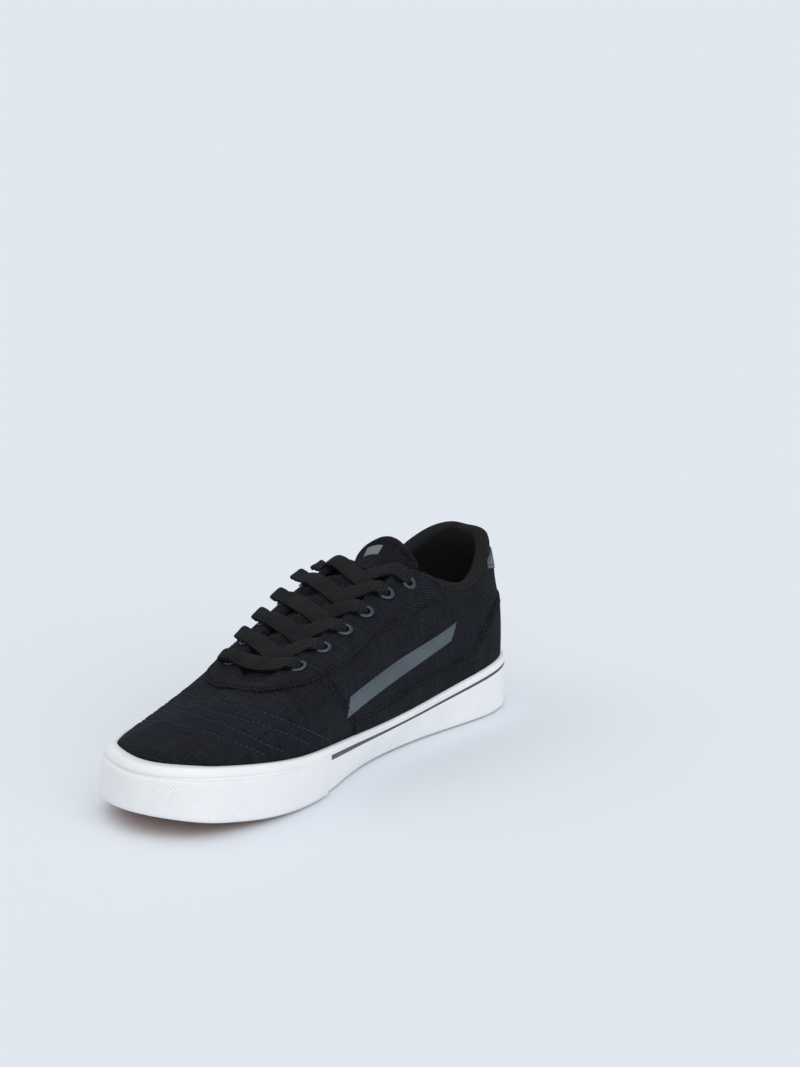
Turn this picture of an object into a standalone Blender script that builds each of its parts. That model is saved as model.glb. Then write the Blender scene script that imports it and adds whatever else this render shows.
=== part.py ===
# Low canvas skate sneaker for the right foot, as an assembly of its cut and moulded pieces.
# The toe points along +X, the medial side is +Y, and the sole stands on Z = 0.

import math

import bmesh
import bpy
import numpy as np
from mathutils import Matrix, Vector

MM = 0.001  # sizes and tables are in millimetres, meshes are made in metres

# Driving sizes of the last and sole
OUTSOLE_LENGTH = 288.0
BALL_WIDTH = 94.0  # of the outsole
INSTEP_HEIGHT = 92.0  # floor to the top of the lace stays
TOE_SPRING = 10.2  # lift under the tip of the outsole
SPRING_START = 0.69  # share of the length where the sole leaves the floor

# Rubber cup and outsole
SIDE_LEDGE = 4.0  # rubber outside the outsole's edge, at the floor
RUBBER_AT_FLOOR = 3.6
CUP_FLOOR_HEEL = 15.0
CUP_FLOOR_TOE = 11.5
OUTSOLE_DEPTH = 5.2
BEAD_HEIGHT = 4.2  # plain bead along the top of the rubber
BEAD_STEP = 0.7  # how far the bead stands out over the band below it
EDGE_ROUND = 1.2
BUMPER_DEPTH = 1.6  # extra rubber wrapped round the toe
BUMPER_END = 0.668  # share of the length where it stops on both sides
BUMPER_LOW = 0.06  # its lower and upper edges, as shares of the wall's height
BUMPER_HIGH = 0.80

# Tread
RIM_WIDTH = 7.0
TREAD_DEPTH = 1.6
FLEX_GAP = 2.6
WAIST_PLATE_LENGTH = 20.0
WAIST_PLATE_WIDTH = 29.0
WAIST_PLATE_DEPTH = 0.9

# Upper
WALL = 2.2
COLLAR_PAD = 4.8  # extra depth of the padded collar
COLLAR_PAD_HEIGHT = 26.0
GAP = 0.3  # between pieces that meet
OVERLAY = 1.1
FILM = 0.7
EYELET_COUNT = 6
EYELET_TOP = 0.320  # shares of the length of the first and last eyelets
EYELET_FRONT = 0.630
EYELET_INSET = 9.6  # from the throat's edge
EYELET_BORE = 2.4
EYELET_BARREL = 2.9
EYELET_FLANGE = 4.7
EYELET_FLANGE_DEPTH = 0.9
EYELET_HOLE = 3.6
LACE_WIDTH = 8.0
LACE_DEPTH = 1.6
LACE_CROWN = 3.6  # rise of a strap over its two ends
TONGUE_DEPTH = 4.5
INSOLE_DEPTH = 4.0

# Fineness of the meshes
RING = 64  # points round the shoe
UPPER_ROWS = 8
PROFILE_STEPS = 32

# Sole sections from heel to toe. station is a share of OUTSOLE_LENGTH. medial and lateral are the
# outsole's edges as shares of BALL_WIDTH, lean_* is how far the rubber's top stands out, and rubber
# is its thickness there.
SOLE_COLUMNS = ("station", "medial", "lateral", "lean_medial", "lean_lateral", "wall_top", "rubber")
SOLE_SECTIONS = (
    (0.000, 0.000, 0.000, -1.5, -1.5, 31.0, 2.9),
    (0.034, 0.255, 0.257, -1.0, -1.0, 30.8, 2.9),
    (0.080, 0.346, 0.359, 0.5, 0.5, 30.0, 2.9),
    (0.146, 0.367, 0.400, 2.2, 2.0, 28.5, 2.9),
    (0.260, 0.332, 0.406, 6.0, 3.0, 25.5, 2.9),
    (0.370, 0.310, 0.413, 9.0, 3.5, 23.2, 2.9),
    (0.483, 0.329, 0.450, 9.0, 3.5, 22.5, 2.9),
    (0.573, 0.389, 0.485, 6.0, 3.0, 23.5, 2.9),
    (0.660, 0.466, 0.504, 3.2, 2.5, 25.5, 3.0),
    (0.753, 0.510, 0.485, 1.5, 1.5, 27.5, 3.4),
    (0.843, 0.500, 0.406, 0.0, 0.0, 30.8, 4.0),
    (0.910, 0.449, 0.317, -1.5, -1.5, 33.2, 4.8),
    (0.960, 0.367, 0.207, -3.0, -3.0, 34.8, 6.0),
    (1.000, 0.093, 0.093, -4.2, -4.2, 35.0, 7.0),
)

# The opening's edge for the same sections: collar from the heel to the sixth row, throat after it.
# height_* is a share of INSTEP_HEIGHT. A profile climbs from the rubber to this edge on a cubic whose
# two inner points are shares of the way in (low_in, high_in) and of the way up (low_up, high_up).
EDGE_COLUMNS = (
    "station", "medial", "lateral", "height_medial", "height_lateral", "low_in", "low_up", "high_in",
    "high_up_medial", "high_up_lateral", "bulge_medial", "bulge_lateral",
)
EDGE_SECTIONS = (
    (0.010, 0.0, 0.0, 1.030, 1.030, 0.08, 0.33, 0.40, 0.70, 0.70, 1.2, 1.2),
    (0.017, 11.0, 11.0, 1.030, 1.037, 0.10, 0.33, 0.43, 0.70, 0.70, 1.4, 1.4),
    (0.044, 20.0, 20.0, 1.000, 1.010, 0.14, 0.33, 0.50, 0.70, 0.70, 1.6, 1.6),
    (0.090, 27.0, 27.0, 0.912, 0.928, 0.20, 0.34, 0.60, 0.70, 0.70, 1.4, 1.4),
    (0.155, 30.5, 30.5, 0.825, 0.835, 0.20, 0.35, 0.65, 0.70, 0.70, 1.0, 1.0),
    (0.232, 27.5, 29.3, 0.880, 0.874, 0.12, 0.36, 0.60, 0.76, 0.75, 1.4, 1.6),
    (0.297, 19.0, 25.0, 0.985, 0.968, 0.06, 0.40, 0.55, 0.84, 0.80, 2.0, 0.4),
    (0.389, 17.0, 25.5, 0.908, 0.880, 0.03, 0.42, 0.50, 0.84, 0.78, 2.0, -1.0),
    (0.486, 16.0, 23.5, 0.802, 0.762, 0.02, 0.43, 0.48, 0.82, 0.73, 1.6, -4.2),
    (0.573, 15.5, 19.5, 0.707, 0.664, 0.00, 0.44, 0.46, 0.77, 0.67, 0.6, -7.8),
    (0.632, 13.5, 14.5, 0.624, 0.592, 0.00, 0.42, 0.42, 0.66, 0.58, -1.0, -10.0),
    (0.660, 9.5, 8.5, 0.588, 0.570, 0.00, 0.39, 0.40, 0.58, 0.54, -1.5, -9.5),
    (0.671, 6.0, 2.6, 0.574, 0.567, 0.00, 0.36, 0.37, 0.54, 0.52, -1.0, -5.0),
    (0.674, 2.5, -2.5, 0.568, 0.568, 0.00, 0.35, 0.36, 0.51, 0.51, -1.5, -1.5),
)
LAST_ROW = len(SOLE_SECTIONS) - 1
LOOP = 2 * LAST_ROW  # rows round the whole shoe: heel 0, toe LAST_ROW, lateral side after it

# Tongue. Under the throat it follows the inside of the stays: row of the upper, rise of its crown
# over the throat's edges, and reach under the stays.
TONGUE_COLUMNS = ("row", "crown", "reach_medial", "reach_lateral")
TONGUE_SECTIONS = (
    (10.0, 1.5, 15.0, 14.0),
    (9.0, 3.0, 16.0, 14.0),
    (8.0, 3.5, 16.0, 13.0),
    (7.2, 3.0, 11.0, 9.0),
)
# Its front end, ahead of the throat: (rows from the toe, inset from the throat's edge) from a side
# of the tongue to its middle
TONGUE_FRONT_SECTIONS = (
    ((2.3, 15.0), (1.43, 15.0), (0.64, 15.0), (0.0, 15.0)),
    ((2.65, 15.0), (2.0, 9.0), (1.15, 4.5), (0.0, 2.5)),
)
# Its free end above them: place along the shoe, place of its middle across it, crown height, half
# width, droop of the sides
TONGUE_TOP_COLUMNS = ("station", "middle", "crown", "half_width", "droop")
TONGUE_TOP_SECTIONS = (
    (0.345, -2.0, 88.0, 14.0, 5.5),
    (0.318, -1.5, 91.0, 13.0, 4.0),
    (0.296, -1.0, 94.5, 13.0, 2.5),
    (0.286, 0.0, 100.0, 17.5, 4.0),
    (0.281, 0.0, 105.0, 19.5, 6.0),
    (0.279, 0.0, 106.5, 15.5, 4.0),
)
TONGUE_CLEAR = 1.2  # between the tongue and the inside of the upper

# Flex grooves across the forefoot, as shares of the length on the medial and lateral edges
FLEX_LINES = ((0.612, 0.612), (0.692, 0.735), (0.772, 0.842), (0.852, 0.945))
FOREFOOT_BACK = 0.515
HEEL_BLOCK_FRONT = 0.392
WAIST_RIBS = (0.404, 0.421, 0.438, 0.455, 0.472, 0.489, 0.506)
WAIST_RIB_WIDTH = 3.2
WAIST_RIB_DEPTH = 1.0

# Overlays on the upper: heights above the rubber's top, and the rows where they start and stop
COUNTER_ROW = 3.4
COUNTER_TOP_SIDE = 15.0
COUNTER_TOP_BACK = 34.0
COUNTER_SWEEP = 5.5  # how late the counter's top edge drops towards its front
MUDGUARD_FRONT_ROW = 7.0
MUDGUARD_TOP_BACK = 14.5
MUDGUARD_TOP_FRONT = 7.0
TAB_ROW = 2.7
TAB_LOW = (24.0, 8.0)  # below the collar's edge, at the back and at the ends
TAB_HIGH = (9.0, 3.0)
# Lace stay: row of the upper and depth below the edge of the throat or collar
STAY_COLUMNS = ("row", "depth")
STAY_SECTIONS = (
    (5.0, 10.0),
    (5.4, 25.0),
    (5.85, 37.0),
    (7.1, 42.0),
    (8.2, 38.5),
    (8.8, 35.0),
    (9.4, 29.0),
    (10.15, 20.5),
    (11.2, 15.0),
    (13.0, 11.5),
)
BAND_ROWS = (4.2, 7.35)
BAND_LOW = (29.0, 10.5)
BAND_WIDTH = 11.0


# Smooth closed curves and the surfaces worked out from them


class LoopSpline:
    """Smooth closed curve through one value for each row round the shoe."""

    def __init__(self, values):
        near = np.eye(len(values))
        system = 4 * near + np.roll(near, 1, 0) + np.roll(near, -1, 0)
        self.weights = np.linalg.solve(system, 6 * np.asarray(values, float))

    def __call__(self, row):
        whole = int(math.floor(row))
        t = row - whole
        blend = ((1 - t) ** 3, 3 * t**3 - 6 * t**2 + 4, -3 * t**3 + 3 * t**2 + 3 * t + 1, t**3)
        count = len(self.weights)
        return sum(b * self.weights[(whole + k - 1) % count] for k, b in enumerate(blend)) / 6


def loop_of(sections, columns, medial, lateral, scale=1.0, lateral_sign=1.0):
    """Spline of one column on the medial side and another on the lateral side."""
    a, b = columns.index(medial), columns.index(lateral)
    values = [row[a] * scale for row in sections]
    values += [row[b] * scale * lateral_sign for row in sections[-2:0:-1]]
    return LoopSpline(values)


def sole_loop(medial, lateral=None, scale=1.0, sign=1.0):
    return loop_of(SOLE_SECTIONS, SOLE_COLUMNS, medial, lateral or medial, scale, sign)


def edge_loop(medial, lateral=None, scale=1.0, sign=1.0):
    return loop_of(EDGE_SECTIONS, EDGE_COLUMNS, medial, lateral or medial, scale, sign)


SOLE_X = sole_loop("station", scale=OUTSOLE_LENGTH)
SOLE_Y = sole_loop("medial", "lateral", BALL_WIDTH, -1.0)
LEAN = sole_loop("lean_medial", "lean_lateral")
WALL_TOP = sole_loop("wall_top")
RUBBER = sole_loop("rubber")
EDGE_X = edge_loop("station", scale=OUTSOLE_LENGTH)
EDGE_Y = edge_loop("medial", "lateral", 1.0, -1.0)
EDGE_Z = edge_loop("height_medial", "height_lateral", INSTEP_HEIGHT)
LOW_IN, LOW_UP = edge_loop("low_in"), edge_loop("low_up")
HIGH_IN, HIGH_UP = edge_loop("high_in"), edge_loop("high_up_medial", "high_up_lateral")
BULGE = edge_loop("bulge_medial", "bulge_lateral")

ROWS = [k * LOOP / RING for k in range(RING)]


def smooth(t):
    t = min(max(t, 0.0), 1.0)
    return t * t * (3 - 2 * t)


def mix(a, b, t):
    return a + (b - a) * t


def mirror_row(row):
    """The lateral row opposite a medial one."""
    return LOOP - row


def heel_distance(row):
    """Rows between this one and the back of the heel, on either side."""
    row = row % LOOP
    return min(row, LOOP - row)


def spring(x):
    """Lift of the sole's underside at a place along the shoe."""
    share = (x / OUTSOLE_LENGTH - SPRING_START) / (1 - SPRING_START)
    return TOE_SPRING * max(share, 0.0) ** 2


def cup_floor(x):
    return mix(CUP_FLOOR_HEEL, CUP_FLOOR_TOE, x / OUTSOLE_LENGTH) + spring(x)


def outline(row, out=0.0):
    """Outsole edge at a row, moved outwards in plan."""
    step = 0.01
    along = Vector((SOLE_X(row + step) - SOLE_X(row - step), SOLE_Y(row + step) - SOLE_Y(row - step)))
    along.normalize()
    return Vector((SOLE_X(row) - along.y * out, SOLE_Y(row) + along.x * out))


def ring(out, height):
    """Points round the shoe: the outline moved outwards, at a height worked out from its row."""
    points = []
    for row in ROWS:
        flat = outline(row, out(row))
        points.append(Vector((flat.x, flat.y, height(row, flat.x))))
    return points


def wall_out(row, share):
    """Outer face of the rubber at a share of its height, as a distance from the outsole's edge."""
    return SIDE_LEDGE + LEAN(row) * share


def floor_share(row):
    return cup_floor(SOLE_X(row)) / WALL_TOP(row)


def upper_out(row, share):
    """Outer face of the upper inside the rubber."""
    rubber = mix(RUBBER_AT_FLOOR, RUBBER(row), smooth((share - 0.4) / 0.6))
    return wall_out(row, share) - rubber - GAP


PROFILES = {}


def profile(row):
    """Points of the upper's outer face up one profile, from the rubber's top to the opening's edge."""
    key = round(row % LOOP, 6)
    if key not in PROFILES:
        foot = outline(row, upper_out(row, 1.0))
        side = (outline(row, 1.0) - outline(row)) * BULGE(row)
        foot_z, edge_z = WALL_TOP(row), EDGE_Z(row)
        edge = Vector((EDGE_X(row), EDGE_Y(row)))
        points = []
        for k in range(PROFILE_STEPS + 1):
            t = k / PROFILE_STEPS
            low, high, end = 3 * t * (1 - t) ** 2, 3 * t**2 * (1 - t), t**3
            inward = low * LOW_IN(row) + high * HIGH_IN(row) + end
            upward = low * LOW_UP(row) + high * HIGH_UP(row) + end
            flat = foot + (edge - foot) * inward + side * math.sin(math.pi * t)
            points.append((flat.x, flat.y, mix(foot_z, edge_z, upward)))
        points = np.array(points)
        lengths = np.concatenate([[0], np.cumsum(np.linalg.norm(np.diff(points, axis=0), axis=1))])
        PROFILES[key] = (points, lengths)
    return PROFILES[key]


def profile_length(row):
    return profile(row)[1][-1]


def face_point(row, rise):
    """Outer face of the upper, rise millimetres above the rubber's top along the profile."""
    points, lengths = profile(row)
    if rise >= 0:
        return Vector([np.interp(rise, lengths, points[:, axis]) for axis in range(3)])
    share = 1 + rise / WALL_TOP(row)
    flat = outline(row, upper_out(row, share))
    return Vector((flat.x, flat.y, WALL_TOP(row) + rise))


def face_normal(row, rise):
    step, climb = 0.04, 0.8
    high = min(rise + climb, profile_length(row))
    up = face_point(row, high) - face_point(row, high - 2 * climb)
    share = rise / profile_length(row) if rise > 0 else 0
    ahead = face_point(row + step, rise if rise < 0 else share * profile_length(row + step))
    behind = face_point(row - step, rise if rise < 0 else share * profile_length(row - step))
    return up.cross(ahead - behind).normalized()


def on_upper(row, rise, lift=0.0):
    """Point lifted off the upper's outer face along its normal."""
    return face_point(row, rise) + face_normal(row, rise) * lift


def wall_depth(row, rise):
    """Depth of the upper's wall: thin cloth, thicker where the collar is padded."""
    collar = 1 - smooth((heel_distance(row) - 4.9) / 1.1)
    below_edge = profile_length(row) - rise
    return WALL + COLLAR_PAD * collar * (1 - smooth(below_edge / COLLAR_PAD_HEIGHT))


# Solids made from grids of points


def add_object(name, points, faces, material):
    """Closed mesh object from points in millimetres, with its faces turned outwards."""
    mesh = bpy.data.meshes.new(name)
    mesh.from_pydata([tuple(c * MM for c in p) for p in points], [], faces)
    shape = bmesh.new()
    shape.from_mesh(mesh)
    bmesh.ops.remove_doubles(shape, verts=shape.verts, dist=1e-6)
    bmesh.ops.recalc_face_normals(shape, faces=shape.faces)
    shape.to_mesh(mesh)
    shape.free()
    mesh.materials.append(material)
    mesh.shade_smooth()
    mesh.set_sharp_from_angle(angle=math.radians(35))
    made = bpy.data.objects.new(name, mesh)
    bpy.context.scene.collection.objects.link(made)
    return made


def torus_solid(name, columns, material):
    """Closed profiles set round a closed loop."""
    count, deep = len(columns), len(columns[0])
    points = [p for column in columns for p in column]
    faces = []
    for i in range(count):
        j = (i + 1) % count
        for k in range(deep):
            m = (k + 1) % deep
            faces.append((i * deep + k, j * deep + k, j * deep + m, i * deep + m))
    return add_object(name, points, faces, material)


def stack_solid(name, rings, material):
    """Rings stacked one on the next, with both ends closed by strips from side to side."""
    count = len(rings[0])
    points = [p for points_of_ring in rings for p in points_of_ring]
    faces = []
    for level in range(len(rings) - 1):
        low, high = level * count, (level + 1) * count
        for k in range(count):
            m = (k + 1) % count
            faces.append((low + k, low + m, high + m, high + k))
    for start in (0, (len(rings) - 1) * count):
        faces.append((start, start + 1, start + count - 1))
        for k in range(1, count // 2 - 1):
            faces.append((start + k, start + k + 1, start + count - k - 1, start + count - k))
        half = start + count // 2
        faces.append((half - 1, half, half + 1))
    return add_object(name, points, faces, material)


def slab_solid(name, outer, inner, material):
    """Solid between two open grids of points, closed along all four edges."""
    columns, rows = len(outer), len(outer[0])
    points = [p for column in outer for p in column] + [p for column in inner for p in column]
    back = columns * rows
    faces = []
    for i in range(columns - 1):
        for j in range(rows - 1):
            a, b, c, d = i * rows + j, (i + 1) * rows + j, (i + 1) * rows + j + 1, i * rows + j + 1
            faces += [(a, b, c, d), (back + d, back + c, back + b, back + a)]
    border = [i * rows for i in range(columns)]
    border += [(columns - 1) * rows + j for j in range(1, rows)]
    border += [i * rows + rows - 1 for i in range(columns - 2, -1, -1)]
    border += [j for j in range(rows - 2, 0, -1)]
    for k, a in enumerate(border):
        b = border[(k + 1) % len(border)]
        faces.append((a, b, back + b, back + a))
    return add_object(name, points, faces, material)


def patch_solid(name, rows, low, high, steps, lifts, material):
    """Overlay cut from the upper's own face: rows along it, low and high edges, and two lifts."""
    grids = []
    for lift in lifts:
        grid = []
        for row in rows:
            rises = [mix(low(row), high(row), j / steps) for j in range(steps + 1)]
            grid.append([on_upper(row, rise, lift) for rise in rises])
        grids.append(grid)
    return slab_solid(name, grids[1], grids[0], material)


def rows_between(first, last):
    """Mesh rows from first to last, with the ring's own rows between them."""
    inner = [k * LOOP / RING for k in range(-RING, 2 * RING)]
    margin = 0.12
    return [first] + [row for row in inner if first + margin < row < last - margin] + [last]


def join(base, others):
    """One closed body from overlapping solids."""
    for other in others:
        union = base.modifiers.new("join", "BOOLEAN")
        union.operation = "UNION"
        union.object = other
        other.hide_render = True
        other.display_type = "WIRE"
    return base


def cut(base, cutter):
    holes = base.modifiers.new("holes", "BOOLEAN")
    holes.operation = "DIFFERENCE"
    holes.object = cutter
    cutter.hide_render = True
    cutter.display_type = "WIRE"
    return base


def finish(name, colour, roughness, metallic=0.0):
    """Plain material of one colour."""
    material = bpy.data.materials.new(name)
    material.use_nodes = True
    shader = material.node_tree.nodes["Principled BSDF"]
    shader.inputs["Base Color"].default_value = (*colour, 1.0)
    shader.inputs["Roughness"].default_value = roughness
    shader.inputs["Metallic"].default_value = metallic
    return material


# Sole pieces


def make_cup(material):
    """White rubber side wall and floor in one piece, open underneath for the outsole."""

    def outer(share, extra=0.0):
        def out(row):
            return wall_out(row, share) + extra

        def height(row, x):
            return mix(spring(x), WALL_TOP(row), share)

        return ring(out, height)

    def bead_share(row):
        return 1 - BEAD_HEIGHT / WALL_TOP(row)

    def bead(extra, drop):
        def out(row):
            return wall_out(row, bead_share(row)) + extra

        def height(row, x):
            return WALL_TOP(row) - BEAD_HEIGHT - drop

        return ring(out, height)

    def inside(share_of, height):
        def out(row):
            return upper_out(row, share_of(row)) + 2 * GAP

        return ring(out, height)

    recess = [
        ring(lambda row: GAP, lambda row, x: spring(x) + OUTSOLE_DEPTH + GAP),
        ring(lambda row: GAP, lambda row, x: spring(x) + 0.8),
        ring(lambda row: SIDE_LEDGE - EDGE_ROUND, lambda row, x: spring(x) + 0.6),
    ]
    side = [
        outer(0.05),
        outer(0.45),
        bead(0.0, 0.3),
        bead(BEAD_STEP, 0.0),
        ring(
            lambda row: wall_out(row, 1.0) + 0.5 * BEAD_STEP,
            lambda row, x: WALL_TOP(row) - EDGE_ROUND,
        ),
        ring(lambda row: wall_out(row, 1.0) - EDGE_ROUND, lambda row, x: WALL_TOP(row)),
    ]
    cavity = [
        inside(lambda row: 1.0, lambda row, x: WALL_TOP(row) - 0.2),
        inside(floor_share, lambda row, x: cup_floor(SOLE_X(row))),
    ]
    return stack_solid("sole_cup", recess + side + cavity, material)


def make_bumper(material):
    """Second layer of rubber wrapped round the toe, between the floor edge and the bead."""
    medial_end = next(
        k / 100 for k in range(100 * LAST_ROW) if SOLE_X(k / 100) > BUMPER_END * OUTSOLE_LENGTH
    )
    rows = rows_between(medial_end, mirror_row(medial_end))
    shares = (BUMPER_LOW, 0.3, 0.6, BUMPER_HIGH)

    def point(row, share, lift):
        flat = outline(row, wall_out(row, share) + lift)
        return Vector((flat.x, flat.y, mix(spring(flat.x), WALL_TOP(row), share)))

    # The edges of the outer face are drawn in, so the layer ends in a soft shoulder
    pull = (0.02, 0.0, 0.0, -0.025)
    outer = [[point(row, s + p, GAP + BUMPER_DEPTH) for s, p in zip(shares, pull)] for row in rows]
    inner = [[point(row, s, GAP) for s in shares] for row in rows]
    return slab_solid("toe_bumper", outer, inner, material)


def tread_edge(station, side):
    """Row on one side (1 medial, -1 lateral) where the sole has this share of its length."""
    low, high = 0.0, float(LAST_ROW)
    for _ in range(40):
        middle = (low + high) / 2
        if SOLE_X(middle) < station * OUTSOLE_LENGTH:
            low = middle
        else:
            high = middle
    return low if side > 0 else mirror_row(low)


def tread_block(name, back, front, depth, material, reach=(0.0, 1.0), steps=8):
    """Raised block between two lines across the sole, each given as (medial, lateral) stations.

    reach is the part of the width it covers, from 0 at the lateral rim to 1 at the medial rim.
    """
    inset = RIM_WIDTH + 1.8

    def across(share, place):
        medial = outline(tread_edge(mix(back[0], front[0], share), 1), -inset)
        lateral = outline(tread_edge(mix(back[1], front[1], share), -1), -inset)
        return lateral + (medial - lateral) * place

    border = [across(k / steps, reach[1]) for k in range(steps + 1)]
    border += [across(k / steps, reach[0]) for k in range(steps, -1, -1)]
    low = [Vector((p.x, p.y, spring(p.x) + TREAD_DEPTH - depth)) for p in border]
    high = [Vector((p.x, p.y, spring(p.x) + TREAD_DEPTH + 1.0)) for p in border]
    count = len(border)
    faces = [(k, (k + 1) % count, count + (k + 1) % count, count + k) for k in range(count)]
    for start in (0, count):
        for k in range(steps):
            far = count - 1 - k
            faces.append((start + k, start + k + 1, start + far - 1, start + far))
    return add_object(name, low + high, faces, material)


def make_outsole(material):
    """Gum plate with a flat rim and raised blocks parted by the flex grooves."""
    rings = [
        ring(lambda row: 0.0, lambda row, x: spring(x) + OUTSOLE_DEPTH),
        ring(lambda row: 0.0, lambda row, x: spring(x) + 0.5),
        ring(lambda row: -0.5, lambda row, x: spring(x)),
        ring(lambda row: -RIM_WIDTH, lambda row, x: spring(x)),
        ring(lambda row: -RIM_WIDTH - 0.6, lambda row, x: spring(x) + TREAD_DEPTH),
    ]
    plate = stack_solid("outsole", rings, material)
    half_gap = FLEX_GAP / 2 / OUTSOLE_LENGTH
    lines = ((FOREFOOT_BACK - half_gap,) * 2,) + FLEX_LINES + ((0.962, 0.985),)
    blocks = []
    for k in range(len(lines) - 1):
        back = tuple(share + half_gap for share in lines[k])
        front = tuple(share - half_gap for share in lines[k + 1])
        blocks.append(tread_block(f"forefoot_block_{k}", back, front, TREAD_DEPTH, material))
    heel_lines = ((0.036, 0.036), (HEEL_BLOCK_FRONT, HEEL_BLOCK_FRONT))
    blocks.append(tread_block("heel_block", *heel_lines, TREAD_DEPTH, material))
    half_rib = WAIST_RIB_WIDTH / 2 / OUTSOLE_LENGTH
    for k, station in enumerate(WAIST_RIBS):
        back, front = (station - half_rib,) * 2, (station + half_rib,) * 2
        for word, reach in (("medial", (0.80, 1.0)), ("lateral", (0.0, 0.20))):
            name = f"waist_rib_{word}_{k}"
            blocks.append(tread_block(name, back, front, WAIST_RIB_DEPTH, material, reach, 1))
    return join(plate, blocks)


def make_insole(material):
    """Footbed that fills the floor of the upper."""

    def out(lift, inset):
        def distance(row):
            share = (cup_floor(SOLE_X(row)) + lift) / WALL_TOP(row)
            return upper_out(row, share) - WALL - inset

        return distance

    def level(lift):
        return lambda row, x: cup_floor(SOLE_X(row)) + lift

    rings = [
        ring(out(0.0, 1.0), level(GAP)),
        ring(out(INSOLE_DEPTH, 1.2), level(INSOLE_DEPTH)),
        ring(out(INSOLE_DEPTH, 5.0), level(INSOLE_DEPTH - 0.8)),
    ]
    return stack_solid("insole", rings, material)


# Upper pieces


def make_upper(material):
    """Canvas shell with a padded collar, open at the collar, the throat and underneath."""
    columns = []
    for row in ROWS:
        length = profile_length(row)
        foot = cup_floor(SOLE_X(row)) + GAP - WALL_TOP(row)
        rises = [foot] + [length * k / UPPER_ROWS for k in range(UPPER_ROWS + 1)]
        outer = [on_upper(row, rise) for rise in rises]
        inner = [on_upper(row, rise, -wall_depth(row, max(rise, 0))) for rise in rises]
        outer[0].z = inner[0].z = foot + WALL_TOP(row)
        depth = wall_depth(row, length)
        crown = (outer[-1] + inner[-1]) / 2
        crown += (outer[-1] - outer[-2]).normalized() * min(depth * 0.42, 1.8)
        columns.append(outer + [crown] + inner[::-1])
    return torus_solid("upper", columns, material)


def stay_low(row):
    """Lower edge of the lace stay, as a rise above the rubber."""
    rows, depths = zip(*STAY_SECTIONS)
    return profile_length(row) - float(np.interp(heel_distance(row), rows, depths))


def make_lace_stay(material):
    top_row = STAY_SECTIONS[0][STAY_COLUMNS.index("row")]
    rows = rows_between(top_row, mirror_row(top_row))
    lifts = (GAP + 0.2, GAP + OVERLAY)

    def high(row):
        return profile_length(row) - 0.6

    return patch_solid("lace_stay", rows, stay_low, high, 4, lifts, material)


def counter_high(row):
    share = (heel_distance(row) / COUNTER_ROW) ** COUNTER_SWEEP
    return mix(COUNTER_TOP_BACK, COUNTER_TOP_SIDE, share)


def make_counter(material):
    rows = rows_between(-COUNTER_ROW, COUNTER_ROW)
    lifts = (GAP + 0.1, GAP + OVERLAY)
    return patch_solid("heel_counter", rows, lambda row: 0.6, counter_high, 3, lifts, material)


def mudguard_high(row):
    share = (heel_distance(row) - COUNTER_ROW) / (MUDGUARD_FRONT_ROW - COUNTER_ROW)
    return mix(MUDGUARD_TOP_BACK, MUDGUARD_TOP_FRONT, smooth(share) * share)


def make_mudguard(name, side, material):
    """Strip along the rubber between the counter and the vamp seam."""
    start, stop = COUNTER_ROW + 0.03, MUDGUARD_FRONT_ROW
    rows = rows_between(start, stop) if side > 0 else rows_between(mirror_row(stop), mirror_row(start))
    lifts = (GAP + 0.1, GAP + OVERLAY)
    return patch_solid(name, rows, lambda row: 0.6, mudguard_high, 2, lifts, material)


def make_heel_tab(material):
    rows = rows_between(-TAB_ROW, TAB_ROW)
    lifts = (GAP + 0.1, GAP + FILM)

    def below_edge(depths):
        def rise(row):
            share = (heel_distance(row) / TAB_ROW) ** 2
            return profile_length(row) - mix(depths[0], depths[1], share)

        return rise

    return patch_solid("heel_tab", rows, below_edge(TAB_LOW), below_edge(TAB_HIGH), 2, lifts, material)


def make_side_band(name, side, material):
    """Plain straight film band on the quarter, rising towards the heel."""
    start, stop = BAND_ROWS
    rows = rows_between(start, stop) if side > 0 else rows_between(mirror_row(stop), mirror_row(start))

    def low(row):
        return mix(BAND_LOW[0], BAND_LOW[1], (heel_distance(row) - start) / (stop - start))

    lifts = (GAP + 0.1, GAP + FILM)
    return patch_solid(name, rows, low, lambda row: low(row) + BAND_WIDTH, 2, lifts, material)


def tongue_front(*places):
    """Across points of the tongue under the front of the throat."""
    medial = [(LAST_ROW - spread, inset) for spread, inset in places]
    lateral = [(LAST_ROW + spread, inset) for spread, inset in places[-2::-1]]
    points = []
    for row, inset in medial + lateral:
        points.append(on_upper(row, profile_length(row) - inset, -WALL - TONGUE_CLEAR))
    return points


def tongue_section(row, crown, reach_medial, reach_lateral):
    """Across points of the tongue under the stays, bridging the throat."""
    points = []
    for own, reach in ((row, reach_medial), (mirror_row(row), reach_lateral)):
        points.append([])
        for inset in (reach, 0.5 * reach, 0.0):
            points[-1].append(on_upper(own, profile_length(own) - inset, -WALL - TONGUE_CLEAR))
    medial, lateral = points
    middle = (medial[-1] + lateral[-1]) / 2 + Vector((0, 0, crown))
    return medial + [middle] + lateral[::-1]


def tongue_top(station, middle, crown, half_width, droop):
    """Across points of the free end of the tongue."""
    shares = (1.0, 0.7, 0.35, 0.0, -0.35, -0.7, -1.0)
    x = station * OUTSOLE_LENGTH
    return [Vector((x, middle + half_width * s, crown - droop * s * s)) for s in shares]


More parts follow.
